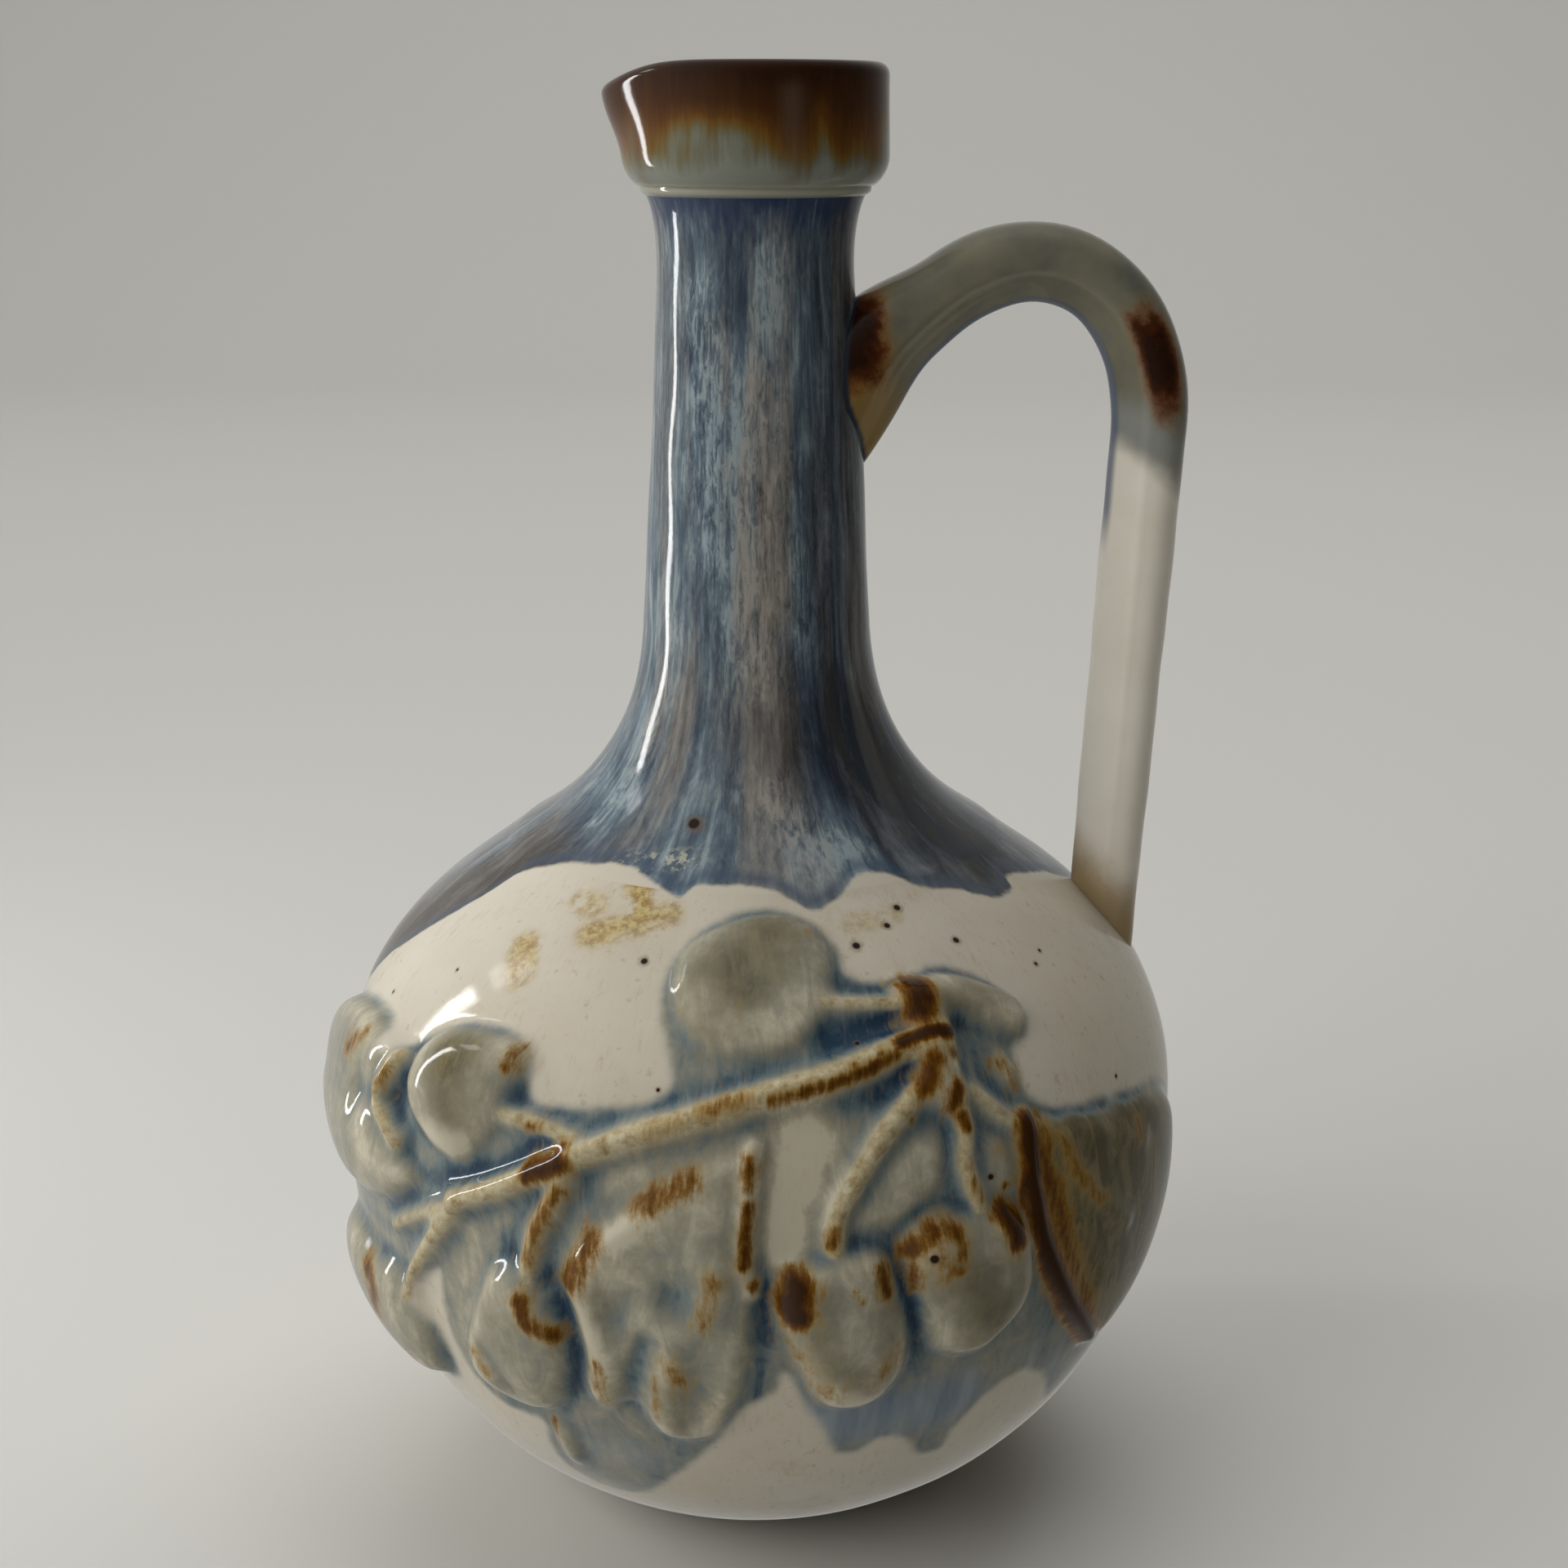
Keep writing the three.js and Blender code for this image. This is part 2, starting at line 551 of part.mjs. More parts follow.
// Each kind of sprig, and the cutter that keeps a seam round it
const makeFruit = (sprig) => pad(sprig, fruitOutline(sprig, 0), SEAM_GAP, SPRIG_EDGE, drawn(sprig.rise));
const makeLeaf = (sprig) => pad(sprig, leafOutline(sprig, 0), SEAM_GAP, SPRIG_EDGE, drawn(sprig.rise));
const makeTwig = (sprig) => roll(sprig, 0, SEAM_GAP, drawn(sprig.rise));
const block = (sprig, outline) => pad(sprig, outline, -CUT_DEPTH, CUT_HEIGHT, CUT_HEIGHT);
const fruitTool = (sprig) => block(sprig, fruitOutline(sprig, SEAM_GAP));
const leafTool = (sprig) => block(sprig, leafOutline(sprig, SEAM_GAP));
const twigTool = (sprig) => roll(sprig, SEAM_GAP, -CUT_DEPTH, CUT_HEIGHT);

const carafe = new THREE.Group();

function place(name, geometry, glaze) {
  const material = new THREE.MeshStandardMaterial({ ...GLAZES[glaze], metalness: 0 });
  const mesh = new THREE.Mesh(geometry, material);
  mesh.name = name;
  carafe.add(mesh);
}

place('body', bellyGeometry(), 'cream');
place('neck', neckGeometry(), 'slate');
place('collar', collarGeometry(), 'umber');
place('handle', handleGeometry(), 'olive');

// Each sprig is trimmed to the ones laid before it: fruits first, then twigs, then leaves
const laid = [];

function lay(sprigs, make, makeTool, glaze) {
  for (const sprig of sprigs) {
    place(sprig.name, carved(make(sprig), laid), glaze);
    laid.push(solid(makeTool(sprig)));
  }
}

lay([KNOT], makeFruit, fruitTool, 'ochre');
lay(FRUITS, makeFruit, fruitTool, 'sage');
lay(TWIGS, makeTwig, twigTool, 'ochre');
lay(LEAVES, makeLeaf, leafTool, 'sage');

export default carafe;
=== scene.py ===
import math

import bpy
import numpy as np
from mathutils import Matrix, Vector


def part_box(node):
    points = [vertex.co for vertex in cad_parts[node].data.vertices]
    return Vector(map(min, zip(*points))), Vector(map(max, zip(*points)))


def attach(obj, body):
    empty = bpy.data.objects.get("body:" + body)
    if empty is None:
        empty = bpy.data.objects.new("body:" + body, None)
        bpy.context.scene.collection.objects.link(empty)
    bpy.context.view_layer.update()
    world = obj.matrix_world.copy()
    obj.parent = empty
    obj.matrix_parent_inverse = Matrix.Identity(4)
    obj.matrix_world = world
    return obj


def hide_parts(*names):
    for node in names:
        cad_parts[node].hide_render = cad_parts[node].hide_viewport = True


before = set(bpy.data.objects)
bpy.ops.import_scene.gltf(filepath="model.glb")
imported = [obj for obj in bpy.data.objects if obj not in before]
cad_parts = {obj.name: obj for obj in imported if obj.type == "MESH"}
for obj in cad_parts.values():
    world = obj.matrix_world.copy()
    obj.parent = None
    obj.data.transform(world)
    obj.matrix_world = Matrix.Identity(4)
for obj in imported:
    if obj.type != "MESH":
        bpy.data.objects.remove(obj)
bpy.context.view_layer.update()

MM = 0.001


def node_top(name, axis):
    """How far a CAD node reaches along an axis, in millimetres."""
    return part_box(name)[1][axis] / MM


# Sizes in millimetres, from the CAD nodes where they have them
BELLY_RADIUS = node_top("body", 0)
SEAM_HEIGHT = node_top("body", 2)
SEAM_RADIUS = node_top("neck", 0)
NECK_TOP = node_top("neck", 2)
COLLAR_RADIUS = node_top("collar", 1)
RIM = node_top("collar", 2)
BELLY_HEIGHT = 80
BASE_RADIUS = 34
BOWL_LEAN = 24
BOWL_FULLNESS = 52
UNDERCURVE = 12
OVERCURVE = 35
SHOULDER_LEAN = 48
SHOULDER_CURVE = 12.5
FLARE_START = 4
FLARE_SWEEP = 30
SHAFT_FOOT = (22, 175)
SHAFT_TOP = (18.7, 241)
THROAT_EASE = 10
THROAT_RADIUS = 20.5
WALL = 5
FLOOR = 6
FOOT_ROUND = 2.5
FOOT_CUT = 0.9
LIP_REACH = 3.6
LIP_DROP = 3.6
LIP_SPREAD = 30
COLLAR_FOOT_ROUND = 6.3
COLLAR_FOOT_TURN = 55
COLLAR_FOOT_RISE = 7
RIDGE_RISE = 1.4
RIDGE_ROUND = 1.3
RIDGE_INSET = 0.1
RIDGE_TURN = (-85, 25)
RIM_ROUND = 2.4
CUP_FLOOR = 5
BORE = SHAFT_TOP[0] - WALL
HANDLE_ROOT = (19.65, 222)
HANDLE_CLIMB = 48
HANDLE_ARCH = (52.2, 243.8)
HANDLE_BEND = (74.9, 212)
HANDLE_FOOT = (69, 117.5)
HANDLE_ROOT_EASE = 12
HANDLE_ARCH_EASE = 14
HANDLE_BEND_EASE = 18
HANDLE_SUNK = 16
HANDLE_DEEPEST = 3
HANDLE_THICKNESS = (15.4, 13.2)
HANDLE_WIDTH = (18, 15)
HANDLE_SQUARENESS = 2.3
HANDLE_SPREAD = 0.2
HANDLE_PINCH = 0.65
PINCH_START = 0.1
# How the strap thickens at its root: extra size, and the stretch along it over which that fades
ROOT_INWARD = (3.8, -14, 13)
ROOT_OUTWARD = (1.3, 3, 22)
ROOT_CREST = (2.8, 8, 24)
ROOT_SIDES = (1.6, -6, 16)
# The vessel runs true near its base, its seam and its collar: where its slow waves die out
BASE_EASE = (4, 20)
SEAM_EASE = 14
TOP_EASE = 8
COLLAR_EASE = (3, 8)
# Slow waves of clay worked by hand: size, count round the axis, rate along the piece, start
WALL_WAVES = [(0.10, 3, 0.05, 0), (0.07, 5, -0.11, 0), (0.05, 8, 0.23, 0)]
COLLAR_WAVES = [(0.12, 2, 0, 0.6), (0.08, 5, 0.2, 0)]
STRAP_WAVES = [(0.010, 0, 0.16, 0), (0.006, 0, 0.41, 1)]
# Inside of the bulb and the neck
SEAM_MARGIN = 1.5
BOWL_INSIDE = 12
FLOOR_EDGE = 3
FLOOR_INSET = 8
THROAT_INSIDE = 16
# Rows and columns of the meshes
BACK_TURNS = (1, 174, 3.0)
BOWL_ROWS = 13
INNER_ROWS = 16
NECK_ROWS = 150
NECK_INNER_ROWS = 40
RING_COLUMNS = 160


# Outline of the thrown vessel, as radius and height

def bezier(points, steps=240):
    """Points of a Bezier curve of any degree."""
    t = np.linspace(0, 1, steps)[:, None]
    degree = len(points) - 1
    out = 0
    for i, point in enumerate(points):
        out = out + math.comb(degree, i) * t ** i * (1 - t) ** (degree - i) * np.array(point, float)
    return out


def leaning(point, degrees, distance):
    """The point a distance further on, in a direction that leans in from straight up."""
    lean = math.radians(degrees)
    return (point[0] - math.sin(lean) * distance, point[1] + math.cos(lean) * distance)


def run_length(points):
    """Distance along a line of points at each of them."""
    return np.concatenate([[0], np.cumsum(np.hypot(*np.diff(points, axis=0).T))])


SEAM = (SEAM_RADIUS, SEAM_HEIGHT)
TAPER = math.degrees(math.atan2(SHAFT_FOOT[0] - SHAFT_TOP[0], SHAFT_TOP[1] - SHAFT_FOOT[1]))
widest = (BELLY_RADIUS, BELLY_HEIGHT)
bowl = bezier([(BASE_RADIUS, 0), leaning((BASE_RADIUS, 0), BOWL_LEAN - 90, BOWL_FULLNESS),
               (BELLY_RADIUS, BELLY_HEIGHT - UNDERCURVE), widest])
shoulder = bezier([widest, (BELLY_RADIUS, BELLY_HEIGHT + OVERCURVE),
                   leaning(SEAM, SHOULDER_LEAN, -SHOULDER_CURVE), SEAM])
flare = bezier([SEAM, leaning(SEAM, SHOULDER_LEAN, FLARE_START),
                leaning(SHAFT_FOOT, TAPER, -FLARE_SWEEP), SHAFT_FOOT])
shaft = bezier([SHAFT_FOOT, SHAFT_TOP], 30)
throat = bezier([SHAFT_TOP, leaning(SHAFT_TOP, TAPER, THROAT_EASE), (THROAT_RADIUS, NECK_TOP)], 30)
line = np.concatenate([bowl, shoulder[1:], flare[1:], shaft[1:], throat[1:]])
line_up = run_length(line) - run_length(bowl)[-1]
BASE_UP = line_up[0]
SEAM_UP = run_length(shoulder)[-1]
TOP_UP = line_up[-1]


def places_on(points, run, at):
    """First and second coordinates at distances along a line of points."""
    return np.stack([np.interp(at, run, points[:, 0]), np.interp(at, run, points[:, 1])])


def outline(up):
    """Radius, height and outward normal of the vessel at distances along it from its widest line."""
    step = 0.6
    below, here, above = (places_on(line, line_up, up + side) for side in (-step, 0, step))
    way = (above - below) / np.hypot(*(above - below))
    return here[0], here[1], way[1], -way[0]


# Relief on the front of the belly. Places are degrees about the axis, with the viewer at -90, and
# millimetres up the belly from its widest line. Each fruit and leaf has its rise and its edge.
FRUITS = [
    (3.6, [(-103, 46), (-103, 54), (-99, 59), (-90, 63), (-81, 62), (-77, 56), (-77, 48), (-79, 41),
           (-84, 36), (-90, 34), (-96, 35), (-100, 39)]),
    (5.2, [(-142, 20), (-141, 26), (-138, 30), (-134, 32.5), (-127, 33.5), (-122.5, 32.5), (-121, 28.5),
           (-122, 24), (-123.5, 19), (-126, 13), (-129, 9.5), (-133, 9.5), (-137, 12), (-140, 15)]),
    (4.8, [(-153, 16), (-146.5, 14), (-143, 9.5), (-139, 5), (-138, 2), (-140, -1), (-143, -4),
           (-149, -6.5), (-158, -7.5), (-168, -5), (-175, 0), (-177, 8), (-172, 15), (-162, 17)]),
    (5.2, [(-125, -10), (-129, -21), (-131.5, -30), (-129.5, -36), (-124.5, -38.5), (-120, -39),
           (-116.5, -36), (-114, -28.5), (-113, -21), (-114, -15), (-115, -9.5), (-117.5, -7),
           (-121, -6)]),
    (5, [(-153, -20), (-146, -19), (-142, -23), (-139.5, -30), (-140, -38), (-143, -43.5), (-150, -44),
         (-160, -42), (-169, -36), (-174, -28), (-170, -21), (-161, -18)]),
    (5.2, [(-87.5, -6), (-86.5, -2.5), (-83, -1), (-79, 1), (-76, 1), (-74, -1), (-72.5, -6.5),
           (-71, -13.5), (-70.5, -19.5), (-71, -25), (-73, -30), (-76, -32.5), (-79.5, -32.5),
           (-82, -30.5), (-84, -25), (-86, -17.5), (-87.5, -12)]),
    (5.2, [(-72, 0.5), (-70.5, 3.5), (-67.5, 5), (-64, 4), (-61, 4.5), (-58.5, 4.5), (-56, 2),
           (-54, -2), (-53, -8), (-53, -13), (-54.5, -18), (-57, -21.5), (-60, -24.5), (-63.5, -24.5),
           (-66.5, -22.5), (-68.5, -19), (-70, -13), (-71.5, -5)]),
    (4.4, [(-68, 43), (-65, 45), (-61.5, 43), (-61, 37), (-61.5, 30), (-61.5, 24), (-64, 21.5),
           (-67.5, 23.5), (-69, 28), (-68.5, 33)]),
]
LEAVES = [
    (2.6, [(-89.5, 19.5), (-95.5, 17), (-100.5, 13.5), (-104, 9.5), (-107.5, 5.5), (-111.5, 0.5),
           (-114, -6.5), (-113, -13), (-112, -22), (-112.5, -30), (-110, -35.5), (-107.5, -33),
           (-105, -35), (-103, -39.5), (-99, -41.5), (-95, -38.5), (-92.5, -32), (-90.5, -22),
           (-89.5, -10), (-89.5, 4)]),
    (2.3, [(-54, 18), (-46, 16.5), (-39, 15), (-30, 13.5), (-22, 11), (-16, 5), (-14, -5), (-14.5, -16),
           (-19, -26), (-28, -34), (-34.5, -37), (-37.5, -33.5), (-45.5, -21.5), (-51, -7.5),
           (-54, 7)]),
    (4.6, [(-176, 10), (-177, 15), (-172, 22), (-165, 26), (-156, 27.5), (-150, 26.5), (-145, 25),
           (-143.5, 23), (-146, 17.5), (-148, 13.5), (-156, 10), (-168, 8)]),
    (1.7, [(-69.5, 19.5), (-66.5, 19.5), (-65.5, 15.5), (-66, 11), (-68, 8), (-70.5, 5.5), (-73.5, 3.5),
           (-77.5, 3), (-78, 6), (-75.5, 11.5), (-72.5, 16)]),
    (1.8, [(-61, 17), (-57.5, 17), (-55.5, 12.5), (-55.5, 6.5), (-58, 5), (-61, 6.5)]),
    (2.2, [(-120, -42.5), (-118, -45.5), (-117, -50), (-118, -55.5), (-120.5, -58), (-121, -50)]),
    (1.8, [(-56, 30), (-54.5, 31), (-53, 28.5), (-53, 24.5), (-54.5, 23.5), (-56, 26)]),
]
# Rolled stems: rise, first and last width, how bare of glaze they are, path
TWIGS = [
    (3.8, (7, 4.8), 0.9, [(-63.5, 35), (-71, 33.5), (-80, 30), (-88, 27.5), (-96, 24), (-106, 19),
                          (-114.5, 13), (-119, 9.5), (-124.5, 5.5), (-130, 2)]),
    (4.2, (9.6, 8), 0.1, [(-66, 42.5), (-60, 42.5), (-55, 40), (-51, 36.5)]),
    (2.4, (3.8, 3.8), 0.7, [(-79.5, 43.5), (-75, 43), (-68, 42)]),
    (2.6, (4.2, 3.6), 0.7, [(-123, 19.5), (-118.5, 19.5), (-112.5, 18)]),
    (3.4, (4.8, 4.6), 0.7, [(-113, 11.5), (-115.5, 4.5), (-117, 0), (-118, -5), (-118, -9)]),
    (2.8, (4.4, 3.4), 0.8, [(-128, 3), (-133, -5), (-137, -12), (-141.5, -20), (-142.5, -24)]),
    (2.4, (3.4, 3), 0.6, [(-130, 1), (-138, -5), (-144, -10)]),
    (5.2, (3.2, 2.8), 0.9, [(-143.5, 23), (-146, 17), (-146.5, 14), (-144, 11), (-141, 8)]),
    (3.1, (5.4, 4.4), 0.95, [(-67.5, 27.5), (-71, 23.5), (-74, 19.5), (-77.5, 13), (-80, 7),
                             (-80.5, 1)]),
    (3, (4.8, 4), 0.9, [(-63.5, 24), (-63, 18.5), (-63.5, 14), (-63, 9.5), (-62, 5)]),
    (2.6, (4, 3.6), 0.6, [(-61, 25), (-57.5, 20), (-54, 15.5)]),
    (3.5, (4.2, 3), 0.3, [(-54, 18), (-54.5, 11), (-54, 4.5), (-51.5, -7), (-45.5, -21), (-37, -34)]),
    (3.7, (3, 3.4), 0.5, [(-90, 19), (-90.5, 12.5), (-91, 5), (-91, -1), (-90, -7)]),
]
# Swells and hollows: height, half width, path
SWELLS = [
    (1.5, 3.4, [(-111.5, -7), (-109.5, 0), (-105, 5), (-98, 12)]),
    (1.3, 2.8, [(-111, -10), (-110, -18), (-109.5, -26), (-110, -32)]),
    (1.4, 3, [(-100, -21), (-100.5, -28), (-101, -36)]),
    (1.3, 3.2, [(-94.5, -2), (-95, -7), (-96.5, -13), (-99.5, -15)]),
    (0.9, 3, [(-92, -16), (-93, -28), (-96, -36)]),
    (-1.7, 3.2, [(-99.5, -8)]),
    (-1.6, 2.2, [(-103, -17), (-105, -25), (-105.5, -33)]),
    (-1.2, 2.6, [(-104.5, -8), (-106.5, -14)]),
    (0.8, 3.4, [(-106, -3), (-103, -12)]),
    (-0.9, 1.6, [(-90.5, -32), (-89.5, -22), (-89, -10), (-89, 0)]),
    (1, 1.6, [(-90, -20), (-92, -32), (-95, -38.5), (-99, -44), (-104, -49), (-109, -53.5),
              (-115, -58)]),
    (1, 2.4, [(-119, -12), (-117.5, -15.5), (-115, -18)]),
    (0.9, 1.8, [(-128, -25), (-126.5, -28), (-124.5, -31.5)]),
    (-0.8, 1.4, [(-126, -24), (-124, -28), (-122, -33)]),
    (0.9, 4, [(-69, -1), (-66.5, -1)]),
    (0.7, 3.4, [(-58, 1)]),
    (-0.6, 3, [(-62, -8)]),
    (0.7, 3, [(-85, -7)]),
    (-0.6, 4, [(-79, -9)]),
    (1.2, 3.5, [(-86, 2.5)]),
    (-0.7, 1.2, [(-58, 44), (-54, 40.5), (-50.5, 36.5)]),
    (-1, 2, [(-59, 37), (-58.5, 32)]),
    (-0.8, 2.2, [(-50.5, 10), (-48, -3), (-42, -18)]),
    (0.8, 1.6, [(-49, 13), (-46.5, 6), (-42, -1), (-35, -9)]),
    (0.6, 1.5, [(-46, 14), (-38, 9), (-31, 5)]),
    (-1.1, 4, [(-92, 50), (-88, 44)]),
    (0.7, 2.6, [(-114, 15.5), (-111, 17.5)]),
    (-1, 2, [(-151, 17), (-152, 9)]),
    (-0.9, 3.5, [(-132, 20), (-129, 16)]),
]

# Edge of the grey-green glaze over the relief
FIELD = [
    (-176, 15), (-170, 23), (-161, 27), (-152, 27), (-147, 22), (-143, 26), (-136, 32), (-129, 34),
    (-123, 32), (-119.5, 23.5), (-115, 23), (-109, 24), (-104, 25.5), (-100.5, 29), (-102, 36),
    (-104, 43), (-104, 52), (-99.5, 60), (-90, 64.5), (-82, 63), (-76, 57), (-75, 50.5), (-72, 47.5),
    (-66, 47.5), (-59, 48.5), (-54, 46), (-49.5, 41), (-47.5, 36), (-49, 32), (-52, 30), (-52, 22),
    (-47, 17.5), (-39, 16), (-30, 14), (-22, 12), (-14, 6), (-11, -4), (-11, -14), (-15, -25),
    (-22, -35), (-30, -45), (-36.5, -51), (-40, -47), (-44.5, -39.5), (-50.5, -35), (-56, -38),
    (-60, -45.5), (-60.5, -52), (-64.5, -52), (-67.5, -45.5), (-72.5, -44), (-75, -47), (-78, -46.5),
    (-80, -41), (-81.5, -36), (-83, -33), (-85, -26), (-86.5, -24.5), (-87.5, -29), (-91.5, -32.5),
    (-94, -38), (-97, -45), (-102, -54), (-111, -67), (-119, -68), (-123.5, -62), (-123.5, -54),
    (-122.5, -45), (-130, -44), (-134, -39), (-136, -32), (-135.5, -22), (-135, -15), (-139.5, -19),
    (-143, -23.5), (-139, -31), (-139.5, -42.5), (-149, -46), (-160, -44), (-169, -37), (-175, -27),
    (-173, -16), (-179, -7), (-175, 2), (-179, 9),
]
# Amber to brown glaze on the crests: strength, half width, path
BROWNS = [
    (0.7, 1.4, [(-145, 19.5), (-146, 16.5)]),
    (0.6, 2.4, [(-156.5, 18.5), (-153, 22.5)]),
    (0.7, 1.8, [(-123, 31), (-123, 27.5)]),
    (0.65, 1.2, [(-119, 18.5), (-117.5, 19)]),
    (1.4, 2.4, [(-117.5, 11.5), (-113.5, 14)]),
    (0.9, 1.3, [(-115, 15), (-113, 17)]),
    (0.65, 2, [(-96.5, 24.5), (-91, 27)]),
    (0.85, 1.5, [(-87.5, 26.5), (-81, 28.5)]),
    (0.9, 1.4, [(-80.5, 28.5), (-75.5, 30.5), (-71, 32.5)]),
    (0.8, 1.1, [(-77, 31.5)]),
    (0.8, 1.1, [(-73, 33)]),
    (0.45, 2, [(-103, 20.5), (-99, 22.5)]),
    (1.5, 3, [(-65.5, 44.5), (-65.5, 42), (-66, 39.5)]),
    (1.5, 1.5, [(-70, 34.5), (-66.5, 35.5), (-63, 35)]),
    (0.95, 2.5, [(-66, 31), (-67, 29), (-68, 26.5)]),
    (0.75, 1.8, [(-63, 31.5)]),
    (1, 1.9, [(-64, 25.5), (-64.5, 23.5)]),
    (0.7, 0.9, [(-70, 21.5)]),
    (0.75, 1.6, [(-80.5, 4.5), (-81, 2)]),
    (0.9, 1.5, [(-63.5, 21), (-63, 19)]),
    (0.55, 1.5, [(-63, 10), (-62, 6.5)]),
    (0.75, 2, [(-113.5, 9), (-115.5, 4.5), (-116.5, 1.5)]),
    (0.6, 1.6, [(-117, -0.5), (-118, -5)]),
    (0.95, 3, [(-153, -23.5), (-151, -26), (-152, -31)]),
    (0.75, 2.8, [(-103.5, 8), (-101, 10.5), (-97.5, 13.5)]),
    (0.85, 2.9, [(-112.5, -7), (-110.5, -2.5), (-109.5, 1)]),
    (0.75, 1.7, [(-90.5, 17), (-90.5, 12.5)]),
    (1, 1.5, [(-90.5, 9), (-91, 3.5), (-91, -1)]),
    (0.95, 1.4, [(-90, -5)]),
    (0.55, 2.2, [(-94.5, -3.5), (-95, -6.5), (-96, -11.5)]),
    (0.6, 1.7, [(-109.5, -23), (-109.5, -32)]),
    (0.6, 2.2, [(-100.5, -20.5), (-99, -24)]),
    (0.5, 1.2, [(-102, -24), (-102.5, -33)]),
    (0.85, 2.2, [(-118.5, -12), (-118, -15), (-116.5, -17), (-115, -18)]),
    (0.8, 1.2, [(-115.5, -18)]),
    (0.6, 1.5, [(-127.5, -26), (-126.5, -27.5), (-125.5, -29.5)]),
    (0.75, 1, [(-120, -43), (-120.5, -49), (-120.5, -55)]),
    (1.5, 3.2, [(-85, -5), (-85.5, -8.5), (-85, -10)]),
    (0.95, 1.8, [(-75, -3), (-74.5, -7)]),
    (0.7, 0.9, [(-78, -6), (-77.5, -8)]),
    (0.46, 3.4, [(-85, -17.5), (-83.5, -22), (-81.5, -26)]),
    (0.42, 2.8, [(-72.5, -18.5), (-74.5, -22.5)]),
    (0.9, 2.4, [(-71.5, -1), (-70, 1.5), (-68, 3), (-66, 2)]),
    (0.8, 2.2, [(-65.5, -0.5), (-66, -4)]),
    (0.75, 1.7, [(-71, -3.5), (-70.5, -8)]),
    (0.5, 3, [(-68.5, -1), (-67.5, -5)]),
    (1.4, 2.8, [(-59, 3), (-57.5, 0), (-57.5, -1.5)]),
    (0.4, 1.8, [(-58, 14)]),
    (0.95, 1.1, [(-58, 7.5)]),
    (0.55, 2.4, [(-55.5, 28.5), (-54, 26.5), (-53.5, 24)]),
    (1.7, 2.4, [(-54, 17.5), (-54.2, 11), (-54, 4.5), (-51.5, -7), (-45.5, -21), (-37.5, -33)]),
    (0.8, 3, [(-52, 16.5), (-51.5, 7.5), (-48.5, -4), (-44.5, -16), (-40, -27)]),
    (0.62, 2, [(-49, 13), (-47, 6.5), (-42, -1)]),
    (0.6, 1.5, [(-32.5, 9), (-33, 6)]),
    (0.45, 1.4, [(-80.5, 58)]),
]
# Olive-brown tint in the grey-green glaze: strength, half width, path
WASHES = [
    (0.75, 9, [(-66, -2), (-62, -12), (-60, -18)]),
    (0.6, 7, [(-85, -6), (-82, -16), (-78, -26)]),
    (0.5, 6, [(-73, -8), (-73, -22)]),
    (1.7, 12, [(-48, 8), (-44, -8), (-38, -24)]),
    (1.3, 14, [(-34, 6), (-26, -8), (-24, -22)]),
    (0.5, 8, [(-106, 8), (-94, 12), (-92, 0)]),
    (0.45, 8, [(-124, -14), (-124, -28)]),
    (0.4, 6, [(-110, -4), (-110, -26)]),
    (0.5, 6, [(-100, -22), (-100, -34)]),
    (0.5, 7, [(-64, 40), (-56, 40)]),
    (0.75, 11, [(-86, 58), (-96, 42)]),
    (0.85, 9, [(-132, 26), (-130, 16)]),
    (0.5, 8, [(-152, -26), (-148, -36)]),
]
